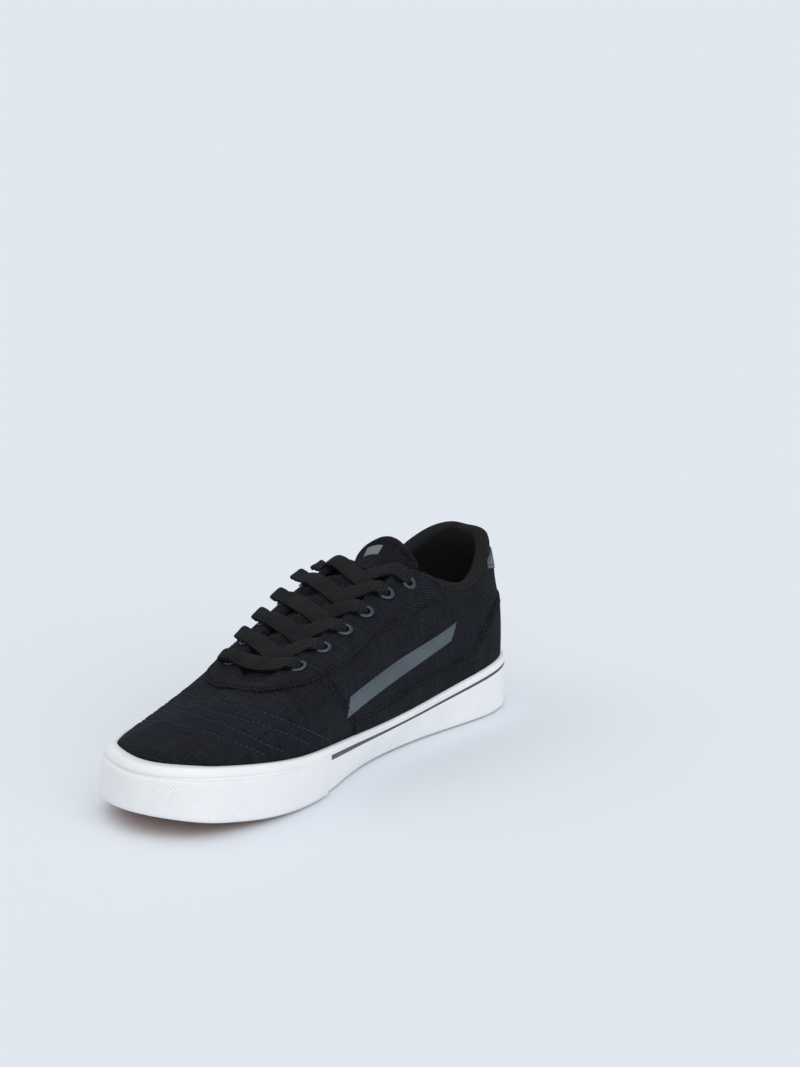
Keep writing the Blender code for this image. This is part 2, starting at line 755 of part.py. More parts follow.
def make_tongue(material):
    """Padded tongue that lies under the lace stays and stands clear of them at the top."""
    outer = [tongue_front(*places) for places in TONGUE_FRONT_SECTIONS]
    outer += [tongue_section(*values) for values in TONGUE_SECTIONS]
    outer += [tongue_top(*values) for values in TONGUE_TOP_SECTIONS]
    inner = []
    for i, section in enumerate(outer):
        ahead, behind = outer[max(i - 1, 0)], outer[min(i + 1, len(outer) - 1)]
        under = []
        for j, point in enumerate(section):
            along = behind[j] - ahead[j]
            across = section[min(j + 1, len(section) - 1)] - section[max(j - 1, 0)]
            thin = 0.45 if j in (0, len(section) - 1) else 1.0
            under.append(point + across.cross(along).normalized() * TONGUE_DEPTH * thin)
        inner.append(under)
    return slab_solid("tongue", outer, inner, material)


# Eyelets and lace


def eyelet_places():
    """Row and rise of each eyelet on the medial side, from the top one to the front one."""
    rows = np.linspace(STAY_SECTIONS[0][0], LAST_ROW - 1, 200)
    stations = [face_point(row, profile_length(row) - EYELET_INSET).x for row in rows]
    wanted = np.linspace(EYELET_TOP, EYELET_FRONT, EYELET_COUNT) * OUTSOLE_LENGTH
    found = np.interp(wanted, stations, rows)
    return [(row, profile_length(row) - EYELET_INSET) for row in found]


def side_place(place, side):
    row, _ = place
    row = row if side > 0 else mirror_row(row)
    return row, profile_length(row) - EYELET_INSET


def seat(place, lift):
    """Matrix whose Z axis stands on the upper at an eyelet."""
    row, rise = place
    turn = face_normal(row, rise).to_track_quat("Z", "Y")
    return Matrix.Translation(on_upper(row, rise, lift)) @ turn.to_matrix().to_4x4()


def make_eyelet(name, place, material):
    """Rolled metal eyelet: a flange on the stay and a barrel through the wall."""
    low = -WALL - OVERLAY - GAP
    section = (
        (EYELET_BORE, low),
        (EYELET_BARREL, low),
        (EYELET_BARREL, 0.0),
        (EYELET_FLANGE, 0.0),
        (EYELET_FLANGE - 0.5, EYELET_FLANGE_DEPTH),
        (EYELET_BORE, EYELET_FLANGE_DEPTH - 0.2),
    )
    sides = 8
    frame = seat(place, OVERLAY + 2 * GAP)
    columns = []
    for k in range(sides):
        turn = 2 * math.pi * k / sides
        columns.append([frame @ Vector((r * math.cos(turn), r * math.sin(turn), z)) for r, z in section])
    return torus_solid(name, columns, material)


def make_hole_cutter(places, material):
    """Round pegs through the wall at every eyelet."""
    sides, reach = 8, 8.0
    points, faces = [], []
    for place in places:
        frame = seat(place, 0.0)
        start = len(points)
        for z in (-reach, reach):
            for k in range(sides):
                turn = 2 * math.pi * k / sides
                x, y = EYELET_HOLE * math.cos(turn), EYELET_HOLE * math.sin(turn)
                points.append(frame @ Vector((x, y, z)))
        faces.append(tuple(start + k for k in range(sides)))
        faces.append(tuple(start + sides + k for k in range(sides)))
        for k in range(sides):
            m = (k + 1) % sides
            faces.append((start + k, start + m, start + sides + m, start + sides + k))
    return add_object("eyelet_holes", points, faces, material)


def lace_path(start, stop, crown_lift):
    """Middle line and upward directions of one strap, from eyelet to eyelet over the tongue."""
    lift = OVERLAY + 2 * GAP + EYELET_FLANGE_DEPTH + 0.5 * LACE_DEPTH + 1.2
    points, ups = [], []
    for row, rise in (start, stop):
        edge = profile_length(row) - 1.0
        points.append([on_upper(row, rise - 2.0, lift), on_upper(row, edge, lift)])
        ups.append([face_normal(row, rise), face_normal(row, edge)])
    crown = (points[0][1] + points[1][1]) / 2 + Vector((0, 0, LACE_CROWN + crown_lift))
    crown_up = (ups[0][1] + ups[1][1]).normalized()
    return points[0] + [crown] + points[1][::-1], ups[0] + [crown_up] + ups[1][::-1]


def lace_strap(name, path, material):
    """Flat strap along a path, as wide and deep as the lace."""
    points, ups = path
    outer, inner = [], []
    for k, point in enumerate(points):
        along = (points[min(k + 1, len(points) - 1)] - points[max(k - 1, 0)]).normalized()
        level = along.cross(ups[k]).normalized()
        up = level.cross(along).normalized()
        outer.append([point + level * LACE_WIDTH / 2 * s + up * LACE_DEPTH / 2 for s in (-1, 1)])
        inner.append([point + level * LACE_WIDTH / 2 * s - up * LACE_DEPTH / 2 for s in (-1, 1)])
    return slab_solid(name, outer, inner, material)


def make_lace(places, material):
    """Bar at the front eyelets and crossings up to the top ones, joined into one body."""
    front = places[-1]
    bar = lace_strap("lace", lace_path(side_place(front, 1), side_place(front, -1), 0.0), material)
    straps = []
    for k in range(EYELET_COUNT - 1, 0, -1):
        for side, crown_lift in ((1, 0.5), (-1, -0.5)):
            path = lace_path(side_place(places[k], side), side_place(places[k - 1], -side), crown_lift)
            straps.append(lace_strap(f"lace_strap_{k}_{side}", path, material))
    return join(bar, straps)


def make_waist_plate(material):
    """Bare plate let into the waist of the outsole."""
    station = (WAIST_RIBS[0] + WAIST_RIBS[-1]) / 2
    edges = [SOLE_Y(tread_edge(station, side)) for side in (1, -1)]
    centre = Vector((station * OUTSOLE_LENGTH, sum(edges) / 2))
    half = Vector((WAIST_PLATE_LENGTH / 2, WAIST_PLATE_WIDTH / 2))
    points = []
    for z in (0.0, -WAIST_PLATE_DEPTH):
        for sx, sy in ((-1, -1), (1, -1), (1, 1), (-1, 1)):
            points.append(Vector((centre.x + sx * half.x, centre.y + sy * half.y, TREAD_DEPTH - GAP + z)))
    faces = [(0, 1, 2, 3), (4, 5, 6, 7), (0, 1, 5, 4), (1, 2, 6, 5), (2, 3, 7, 6), (3, 0, 4, 7)]
    return add_object("waist_plate", points, faces, material)


def clear_scene():
    for old in list(bpy.data.objects):
        bpy.data.objects.remove(old)


def centre_on_origin(objects):
    """Parent all pieces to one empty and bring the middle of their box over the origin."""
    bpy.context.view_layer.update()
    corners = [piece.matrix_world @ Vector(c) for piece in objects for c in piece.bound_box]
    low = Vector(min(c[axis] for c in corners) for axis in range(3))
    high = Vector(max(c[axis] for c in corners) for axis in range(3))
    shoe = bpy.data.objects.new("shoe", None)
    bpy.context.scene.collection.objects.link(shoe)
    for piece in objects:
        piece.parent = shoe
    shoe.location = (-(low.x + high.x) / 2, -(low.y + high.y) / 2, -low.z)


def main():
    clear_scene()
    canvas = finish("black_canvas", (0.012, 0.013, 0.018), 0.9)
    rubber = finish("white_rubber", (0.86, 0.87, 0.88), 0.5)
    gum = finish("gum_rubber", (0.50, 0.23, 0.11), 0.55)
    film = finish("grey_film", (0.10, 0.12, 0.14), 0.45)
    cord = finish("black_cord", (0.010, 0.010, 0.011), 0.85)
    enamel = finish("dark_enamel", (0.05, 0.06, 0.09), 0.35, 0.6)
    lining = finish("black_lining", (0.010, 0.010, 0.011), 0.95)
    plate = finish("navy_rubber", (0.015, 0.020, 0.032), 0.5)

    make_cup(rubber)
    make_bumper(rubber)
    make_outsole(gum)
    make_waist_plate(plate)
    make_insole(lining)
    places = eyelet_places()
    both_sides = [side_place(place, side) for place in places for side in (1, -1)]
    holes = make_hole_cutter(both_sides, lining)
    cut(make_upper(canvas), holes)
    cut(make_lace_stay(canvas), holes)
    make_counter(canvas)
    make_mudguard("mudguard_medial", 1, canvas)
    make_mudguard("mudguard_lateral", -1, canvas)
    make_heel_tab(film)
    make_side_band("side_band_medial", 1, film)
    make_side_band("side_band_lateral", -1, film)
    make_tongue(canvas)
    for side, word in ((1, "medial"), (-1, "lateral")):
        for k, place in enumerate(places):
            make_eyelet(f"eyelet_{word}_{k + 1}", side_place(place, side), enamel)
    make_lace(places, cord)
    centre_on_origin([piece for piece in bpy.data.objects if piece.type == "MESH"])


main()
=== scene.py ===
# Low canvas sneaker, right foot: cloth, rubber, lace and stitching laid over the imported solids.
# Shapes are worked out in millimetres with the heel of the outsole at x = 0 and the medial side +y.
import math

import bmesh
import bpy
import numpy as np
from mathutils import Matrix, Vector
from mathutils.kdtree import KDTree


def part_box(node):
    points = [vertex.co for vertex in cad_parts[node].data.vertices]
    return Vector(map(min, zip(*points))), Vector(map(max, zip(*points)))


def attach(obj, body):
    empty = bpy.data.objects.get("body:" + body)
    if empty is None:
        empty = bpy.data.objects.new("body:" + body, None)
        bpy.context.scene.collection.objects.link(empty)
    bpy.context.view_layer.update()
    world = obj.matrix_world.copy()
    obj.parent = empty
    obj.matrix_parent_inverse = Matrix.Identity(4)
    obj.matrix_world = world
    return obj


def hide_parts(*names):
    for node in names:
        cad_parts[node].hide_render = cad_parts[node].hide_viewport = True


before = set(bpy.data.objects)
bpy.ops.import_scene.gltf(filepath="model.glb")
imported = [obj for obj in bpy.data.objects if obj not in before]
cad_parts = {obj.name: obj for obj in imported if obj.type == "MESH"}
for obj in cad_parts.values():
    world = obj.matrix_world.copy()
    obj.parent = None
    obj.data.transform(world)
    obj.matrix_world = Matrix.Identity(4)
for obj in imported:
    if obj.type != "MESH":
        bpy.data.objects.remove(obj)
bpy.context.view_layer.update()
print("frame loaded,", len(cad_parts), "nodes")

sideShift = 0.131  # the frame's origin lies midway across the whole shoe
shoeShift = np.array([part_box("outsole")[0].x * 1000, sideShift, 0.0])

# Camera, floor and light

studio = {
    "cameraPlace": (1.0121, 0.8270, 0.4437),
    "cameraAim": (-0.0288, 0.0377, 0.1194),
    "lens": 87.72,
    "floorColour": (0.845, 0.875, 0.925),
    "floorReach": 30.0,
    "floorDrop": 0.0002,
    "worldColour": (0.93, 0.965, 1.0),
    "worldPower": 0.58,
    "keyFrom": (0.25, -0.75, 1.5),
    "keyPower": 0.60,
    "keySpread": 65.0,
    "fillFrom": (0.62, 1.35, 0.75),
    "fillPower": 1.30,
    "fillSpread": 80.0,
}


def skyLight(name, source, power, spread):
    data = bpy.data.lights.new(name, "SUN")
    data.energy = power
    data.angle = math.radians(spread)
    lamp = bpy.data.objects.new(name, data)
    lamp.rotation_euler = (-Vector(source)).to_track_quat("-Z", "Y").to_euler()
    bpy.context.scene.collection.objects.link(lamp)


def makeStudio():
    scene = bpy.context.scene
    scene.view_settings.view_transform = "Standard"
    data = bpy.data.cameras.new("camera")
    data.lens = studio["lens"]
    data.sensor_width = 36.0
    camera = bpy.data.objects.new("camera", data)
    place, aim = Vector(studio["cameraPlace"]), Vector(studio["cameraAim"])
    camera.location = place
    camera.rotation_euler = (aim - place).to_track_quat("-Z", "Y").to_euler()
    scene.collection.objects.link(camera)
    scene.camera = camera

    world = bpy.data.worlds.new("studio")
    world.use_nodes = True
    sky = world.node_tree.nodes["Background"]
    sky.inputs["Color"].default_value = (*studio["worldColour"], 1)
    sky.inputs["Strength"].default_value = studio["worldPower"]
    scene.world = world
    skyLight("key", studio["keyFrom"], studio["keyPower"], studio["keySpread"])
    skyLight("fill", studio["fillFrom"], studio["fillPower"], studio["fillSpread"])

    mesh = bpy.data.meshes.new("floor")
    far = studio["floorReach"]
    mesh.from_pydata([(-far, -far, 0), (far, -far, 0), (far, far, 0), (-far, far, 0)], [], [(0, 1, 2, 3)])
    paper = bpy.data.materials.new("floorPaper")
    paper.use_nodes = True
    shader = paper.node_tree.nodes["Principled BSDF"]
    shader.inputs["Base Color"].default_value = (*studio["floorColour"], 1)
    shader.inputs["Roughness"].default_value = 0.9
    shader.inputs["Specular IOR Level"].default_value = 0.0
    mesh.materials.append(paper)
    floor = bpy.data.objects.new("floor", mesh)
    floor.location.z = -studio["floorDrop"]
    scene.collection.objects.link(floor)


makeStudio()
print("studio ready")


# Last and sole, as in the solids
lastShape = {
    "length": 288.0, "ballWidth": 94.0, "instep": 92.0, "toeSpring": 10.2, "springStart": 0.69,
    "ledge": 4.0, "rubberAtFloor": 3.6, "floorHeel": 15.0, "floorToe": 11.5,
    "gap": 0.3, "wall": 2.2, "collarPad": 4.8, "collarPadHeight": 26.0, "padEnd": 4.9, "padBlend": 1.1,
}
# station, medial, lateral, lean medial, lean lateral, wall top, rubber
soleTable = (
    (0.000, 0.000, 0.000, -1.5, -1.5, 31.0, 2.9),
    (0.034, 0.255, 0.257, -1.0, -1.0, 30.8, 2.9),
    (0.080, 0.346, 0.359, 0.5, 0.5, 30.0, 2.9),
    (0.146, 0.367, 0.400, 2.2, 2.0, 28.5, 2.9),
    (0.260, 0.332, 0.406, 6.0, 3.0, 25.5, 2.9),
    (0.370, 0.310, 0.413, 9.0, 3.5, 23.2, 2.9),
    (0.483, 0.329, 0.450, 9.0, 3.5, 22.5, 2.9),
    (0.573, 0.389, 0.485, 6.0, 3.0, 23.5, 2.9),
    (0.660, 0.466, 0.504, 3.2, 2.5, 25.5, 3.0),
    (0.753, 0.510, 0.485, 1.5, 1.5, 27.5, 3.4),
    (0.843, 0.500, 0.406, 0.0, 0.0, 30.8, 4.0),
    (0.910, 0.449, 0.317, -1.5, -1.5, 33.2, 4.8),
    (0.960, 0.367, 0.207, -3.0, -3.0, 34.8, 6.0),
    (1.000, 0.093, 0.093, -4.2, -4.2, 35.0, 7.0),
)
# station, medial, lateral, heights medial and lateral, low in, low up, high in,
# high up medial and lateral, bulge medial and lateral
edgeTable = (
    (0.010, 0.0, 0.0, 1.030, 1.030, 0.08, 0.33, 0.40, 0.70, 0.70, 1.2, 1.2),
    (0.017, 11.0, 11.0, 1.030, 1.037, 0.10, 0.33, 0.43, 0.70, 0.70, 1.4, 1.4),
    (0.044, 20.0, 20.0, 1.000, 1.010, 0.14, 0.33, 0.50, 0.70, 0.70, 1.6, 1.6),
    (0.090, 27.0, 27.0, 0.912, 0.928, 0.20, 0.34, 0.60, 0.70, 0.70, 1.4, 1.4),
    (0.155, 30.5, 30.5, 0.825, 0.835, 0.20, 0.35, 0.65, 0.70, 0.70, 1.0, 1.0),
    (0.232, 27.5, 29.3, 0.880, 0.874, 0.12, 0.36, 0.60, 0.76, 0.75, 1.4, 1.6),
    (0.297, 19.0, 25.0, 0.985, 0.968, 0.06, 0.40, 0.55, 0.84, 0.80, 2.0, 0.4),
    (0.389, 17.0, 25.5, 0.908, 0.880, 0.03, 0.42, 0.50, 0.84, 0.78, 2.0, -1.0),
    (0.486, 16.0, 23.5, 0.802, 0.762, 0.02, 0.43, 0.48, 0.82, 0.73, 1.6, -4.2),
    (0.573, 15.5, 19.5, 0.707, 0.664, 0.00, 0.44, 0.46, 0.77, 0.67, 0.6, -7.8),
    (0.632, 13.5, 14.5, 0.624, 0.592, 0.00, 0.42, 0.42, 0.66, 0.58, -1.0, -10.0),
    (0.660, 9.5, 8.5, 0.588, 0.570, 0.00, 0.39, 0.40, 0.58, 0.54, -1.5, -9.5),
    (0.671, 6.0, 2.6, 0.574, 0.567, 0.00, 0.36, 0.37, 0.54, 0.52, -1.0, -5.0),
    (0.674, 2.5, -2.5, 0.568, 0.568, 0.00, 0.35, 0.36, 0.51, 0.51, -1.5, -1.5),
)
toeRow = len(soleTable) - 1
loopRows = 2 * toeRow  # heel 0, toe in the middle, lateral side after it


def closedCurve(table, medial, lateral=None, scale=1.0, sign=1.0):
    lateral = medial if lateral is None else lateral
    values = [row[medial] * scale for row in table]
    values += [row[lateral] * scale * sign for row in table[-2:0:-1]]
    near = np.eye(len(values))
    return np.linalg.solve(4 * near + np.roll(near, 1, 0) + np.roll(near, -1, 0), 6 * np.array(values))


def curveAt(weights, rows):
    rows = np.asarray(rows, float)
    whole = np.floor(rows).astype(int)
    t = rows - whole
    blend = ((1 - t) ** 3, 3 * t**3 - 6 * t**2 + 4, -3 * t**3 + 3 * t**2 + 3 * t + 1, t**3)
    return sum(b * weights[(whole + k - 1) % len(weights)] for k, b in enumerate(blend)) / 6


soleX = closedCurve(soleTable, 0, scale=lastShape["length"])
soleY = closedCurve(soleTable, 1, 2, lastShape["ballWidth"], -1.0)
lean = closedCurve(soleTable, 3, 4)
wallTop = closedCurve(soleTable, 5)
rubberDepth = closedCurve(soleTable, 6)
edgeX = closedCurve(edgeTable, 0, scale=lastShape["length"])
edgeY = closedCurve(edgeTable, 1, 2, 1.0, -1.0)
edgeZ = closedCurve(edgeTable, 3, 4, lastShape["instep"])
lowIn, lowUp, highIn = (closedCurve(edgeTable, k) for k in (5, 6, 7))
highUp = closedCurve(edgeTable, 8, 9)
bulge = closedCurve(edgeTable, 10, 11)


def smooth(t):
    t = np.clip(t, 0.0, 1.0)
    return t * t * (3 - 2 * t)


def mix(a, b, t):
    return a + (b - a) * t


def unit(vectors):
    return vectors / np.linalg.norm(vectors, axis=-1, keepdims=True)


def bell(away, width):
    return np.exp(-((away / width) ** 2))


def roundEdge(away, radius):  # from 0 at an edge to 1, as a quarter circle
    return np.sqrt(1 - (1 - np.clip(away / radius, 0, 1)) ** 2)


def circle(count):
    return np.linspace(0, 2 * math.pi, count, endpoint=False)


def ringOf(a, b, sides):  # circle of points between two directions
    return np.cos(circle(sides))[:, None] * a + np.sin(circle(sides))[:, None] * b


def squareRound(count, power):  # rounded square between -1 and 1
    return [np.sign(wave) * np.abs(wave) ** power for wave in (np.cos(circle(count)), np.sin(circle(count)))]


def gridUv(along, across):
    return np.stack(np.broadcast_arrays(along[:, None], across[None]), -1)


def nearTree(points):
    tree = KDTree(len(points))
    for k, point in enumerate(points):
        tree.insert(point, k)
    tree.balance()
    return tree


def heelDistance(rows):
    rows = np.mod(rows, loopRows)
    return np.minimum(rows, loopRows - rows)


def sideRows(rows, side):  # the same rows on the medial side or mirrored on the lateral one
    return rows if side > 0 else loopRows - rows


def spring(x):
    share = (x / lastShape["length"] - lastShape["springStart"]) / (1 - lastShape["springStart"])
    return lastShape["toeSpring"] * np.maximum(share, 0.0) ** 2


def cupFloor(x):
    return mix(lastShape["floorHeel"], lastShape["floorToe"], x / lastShape["length"]) + spring(x)


def outlineAt(rows, out=0.0):
    step = 0.01
    dx = curveAt(soleX, rows + step) - curveAt(soleX, rows - step)
    dy = curveAt(soleY, rows + step) - curveAt(soleY, rows - step)
    size = np.hypot(dx, dy)
    return np.stack([curveAt(soleX, rows) - dy / size * out, curveAt(soleY, rows) + dx / size * out], -1)


def wallOut(rows, share):
    return lastShape["ledge"] + curveAt(lean, rows) * share


def upperOut(rows, share):
    rubber = mix(lastShape["rubberAtFloor"], curveAt(rubberDepth, rows), smooth((share - 0.4) / 0.6))
    return wallOut(rows, share) - rubber - lastShape["gap"]


def profileAt(rows, steps=64):
    rows = np.asarray(rows, float)
    foot = outlineAt(rows, upperOut(rows, 1.0))
    side = (outlineAt(rows, 1.0) - outlineAt(rows)) * curveAt(bulge, rows)[:, None]
    edge = np.stack([curveAt(edgeX, rows), curveAt(edgeY, rows)], -1)
    t = np.linspace(0, 1, steps + 1)
    low, high, end = 3 * t * (1 - t) ** 2, 3 * t**2 * (1 - t), t**3
    inward = low * curveAt(lowIn, rows)[:, None] + high * curveAt(highIn, rows)[:, None] + end
    upward = low * curveAt(lowUp, rows)[:, None] + high * curveAt(highUp, rows)[:, None] + end
    bow = side[:, None] * np.sin(np.pi * t)[None, :, None]
    flat = foot[:, None] + (edge - foot)[:, None] * inward[..., None] + bow
    z = mix(curveAt(wallTop, rows)[:, None], curveAt(edgeZ, rows)[:, None], upward)
    points = np.concatenate([flat, z[..., None]], -1)
    spans = np.linalg.norm(np.diff(points, axis=1), axis=2)
    return points, np.concatenate([np.zeros((len(rows), 1)), np.cumsum(spans, 1)], 1)


def profileLength(rows):
    return profileAt(np.atleast_1d(rows))[1][:, -1]


def faceAt(rows, rises):
    points, lengths = profileAt(rows)
    found = np.empty(rises.shape + (3,))
    for i in range(len(rows)):
        for axis in range(3):
            found[i, :, axis] = np.interp(rises[i], lengths[i], points[i, :, axis])
    top = curveAt(wallTop, rows)[:, None]
    share = 1 + np.minimum(rises, 0) / top
    sunk = outlineAt(np.repeat(rows[:, None], rises.shape[1], 1), upperOut(rows[:, None], share))
    below = rises < 0
    found[below] = np.concatenate([sunk, (top + rises)[..., None]], -1)[below]
    return found


def normalAt(rows, rises):
    step, climb = 0.04, 0.6
    length = profileLength(rows)[:, None]
    high = np.minimum(rises + climb, length)
    up = faceAt(rows, high) - faceAt(rows, high - 2 * climb)
    share = np.clip(rises / length, 0, None)
    ahead = faceAt(rows + step, np.where(rises < 0, rises, share * profileLength(rows + step)[:, None]))
    behind = faceAt(rows - step, np.where(rises < 0, rises, share * profileLength(rows - step)[:, None]))
    return unit(np.cross(up, ahead - behind))


def onUpper(rows, rises, lift=0.0):
    rows, rises = np.asarray(rows, float), np.asarray(rises, float)
    return faceAt(rows, rises) + normalAt(rows, rises) * np.asarray(lift)[..., None]


# Meshes from grids of points


def gridFaces(columns, rows, closedColumns=False, closedRows=False, start=0):
    i = np.arange(columns if closedColumns else columns - 1)
    j = np.arange(rows if closedRows else rows - 1)
    i, j = (a.ravel() for a in np.meshgrid(i, j, indexing="ij"))
    i1, j1 = (i + 1) % columns, (j + 1) % rows
    return (start + np.stack([i * rows + j, i1 * rows + j, i1 * rows + j1, i * rows + j1], -1)).tolist()


def tubeFaces(columns, sides, start=0):  # closed tube with flat ends
    last = start + (columns - 1) * sides
    ends = [tuple(range(first, first + sides)) for first in (start, last)]
    return gridFaces(columns, sides, closedRows=True, start=start) + ends


def addPiece(name, points, faces, materials, faceSlots=None, uv=None, sharp=50):
    mesh = bpy.data.meshes.new(name)
    world = (np.asarray(points, float).reshape(-1, 3) + shoeShift) * 0.001
    mesh.from_pydata(world.tolist(), [], faces)
    for material in materials if isinstance(materials, (list, tuple)) else [materials]:
        mesh.materials.append(material)
    if faceSlots is not None:
        mesh.polygons.foreach_set("material_index", np.asarray(faceSlots, np.int32))
    if uv is not None:
        corners = np.empty(len(mesh.loops), np.int32)
        mesh.loops.foreach_get("vertex_index", corners)
        layer = mesh.uv_layers.new(name="surfaceMm")
        layer.data.foreach_set("uv", np.asarray(uv, np.float32).reshape(-1, 2)[corners].ravel())
    shape = bmesh.new()
    shape.from_mesh(mesh)
    bmesh.ops.remove_doubles(shape, verts=shape.verts, dist=1e-7)
    bmesh.ops.recalc_face_normals(shape, faces=shape.faces)
    shape.to_mesh(mesh)
    shape.free()
    mesh.shade_smooth()
    mesh.set_sharp_from_angle(angle=math.radians(sharp))
    piece = bpy.data.objects.new(name, mesh)
    bpy.context.scene.collection.objects.link(piece)
    return piece


def dress(piece, slotName, *nodes):
    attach(piece, "root")
    if nodes:
        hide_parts(*nodes)
    return piece


def runLength(points):  # running length along a line of points
    return np.concatenate([[0], np.cumsum(np.linalg.norm(np.diff(points, axis=0), axis=1))])


def smoothPath(knots, count):  # smooth curve through a few knots
    knots = np.asarray(knots, float)
    padded = np.concatenate([[2 * knots[0] - knots[1]], knots, [2 * knots[-1] - knots[-2]]])
    where = np.linspace(0, len(knots) - 1, count)
    k = np.minimum(where.astype(int), len(knots) - 2)
    t = (where - k)[:, None]
    a, b, c, d = (padded[k + n] for n in range(4))
    return 0.5 * (2 * b + (c - a) * t + (2 * a - 5 * b + 4 * c - d) * t**2 + (3 * b - a - 3 * c + d) * t**3)


def evenPath(points, gap):  # the same line with its points a fixed gap apart
    run = runLength(points)
    stops = np.arange(0.5 * gap, run[-1], gap)
    return np.stack([np.interp(stops, run, points[:, axis]) for axis in range(points.shape[1])], -1)


def ringStack(name, rings, levels, material):
    # rings stacked into one closed body, its first and last ring closed by strips from side to side
    rings = np.asarray(rings)
    deep, count = rings.shape[:2]
    faces = gridFaces(deep, count, closedRows=True)
    for start in (0, (deep - 1) * count):
        half = start + count // 2
        faces += [(start, start + 1, start + count - 1), (half - 1, half, half + 1)]
        for k in range(1, count // 2 - 1):
            faces.append((start + k, start + k + 1, start + count - k - 1, start + count - k))
    uv = gridUv(np.array(levels, float), runLength(rings[deep // 2]))[..., ::-1]
    return addPiece(name, rings, faces, material, uv=uv)


def slab(name, outer, inner, uv, material, sharp=50):
    # closed body between two open grids of the same size
    outer, inner = np.asarray(outer), np.asarray(inner)
    columns, rows = outer.shape[:2]
    back = columns * rows
    faces = gridFaces(columns, rows) + gridFaces(columns, rows, start=back)
    border = [i * rows for i in range(columns)] + [(columns - 1) * rows + j for j in range(1, rows)]
    border += [i * rows + rows - 1 for i in range(columns - 2, -1, -1)] + list(range(rows - 2, 0, -1))
    for k, a in enumerate(border):
        b = border[(k + 1) % len(border)]
        faces.append((a, b, back + b, back + a))
    points = np.concatenate([outer.reshape(-1, 3), inner.reshape(-1, 3)])
    flat = np.asarray(uv).reshape(-1, 2)
    return addPiece(name, points, faces, material, uv=np.concatenate([flat, flat]), sharp=sharp)


def applyCut(piece, cutter):  # holes cut through a finished piece
    change = piece.modifiers.new("holes", "BOOLEAN")
    change.operation = "DIFFERENCE"
    change.solver = "EXACT"
    change.object = cutter
    bpy.context.view_layer.update()
    made = bpy.data.meshes.new_from_object(piece.evaluated_get(bpy.context.evaluated_depsgraph_get()))
    piece.modifiers.clear()
    old = piece.data
    piece.data = made
    bpy.data.meshes.remove(old)
    return piece


# Effects that several finishes share, as node groups


class NodeTree:  # short way to add and join nodes
    def __init__(self, tree):
        self.tree = tree

    def add(self, kind, settings=None, **inputs):
        node = self.tree.nodes.new(kind)
        for key, value in (settings or {}).items():
            setattr(node, key, value)
        for key, value in inputs.items():
            byNumber = key[0] == "i" and key[1:].isdigit()
            self.join(value, node.inputs[int(key[1:])] if byNumber else node.inputs[key])
        return node

    def join(self, value, socket):
        if isinstance(value, bpy.types.NodeSocket):
            self.tree.links.new(value, socket)
        else:
            socket.default_value = value

    def math(self, operation, a, b=0.0, clamp=False):
        node = self.add("ShaderNodeMath", {"operation": operation, "use_clamp": clamp}, i0=a, i1=b)
        return node.outputs[0]

    def plus(self, a, b, clamp=False):
        return self.math("ADD", a, b, clamp)

    def minus(self, a, b):
        return self.math("SUBTRACT", a, b)

    def times(self, a, b):
        return self.math("MULTIPLY", a, b)

    def ridges(self, angle):  # a round ridge in every half turn
        return self.math("ABSOLUTE", self.math("SINE", angle))

    def split(self, vector):
        return self.add("ShaderNodeSeparateXYZ", {}, i0=vector).outputs

    def noise(self, vector, scale, detail):
        return self.add("ShaderNodeTexNoise", {}, Vector=vector, Scale=scale, Detail=detail).outputs

    def blend(self, share, a, b):  # between two colours
        node = self.add("ShaderNodeMix", {"data_type": "RGBA"}, i0=share)
        for value, place in ((a, 6), (b, 7)):
            self.join((*value, 1) if isinstance(value, tuple) else value, node.inputs[place])
        return node.outputs[2]

    def fit(self, value, low, high, toLow=0.0, toHigh=1.0):
        node = self.add("ShaderNodeMapRange", {}, i0=value, i1=low, i2=high, i3=toLow, i4=toHigh)
        return node.outputs[0]

    def place(self, group, **inputs):
        return self.add("ShaderNodeGroup", {"node_tree": group}, **inputs).outputs


def newGroup(name, values, outputs):  # surface coordinates and some values go in, values come out
    group = bpy.data.node_groups.new(name, "ShaderNodeTree")
    group.interface.new_socket("Vector", in_out="INPUT", socket_type="NodeSocketVector")
    for title, value in values.items():
        group.interface.new_socket(title, in_out="INPUT", socket_type="NodeSocketFloat").default_value = value
    for title in outputs:
        group.interface.new_socket(title, in_out="OUTPUT", socket_type="NodeSocketFloat")
    tree = NodeTree(group)
    return group, tree, tree.add("NodeGroupInput").outputs, tree.add("NodeGroupOutput").inputs


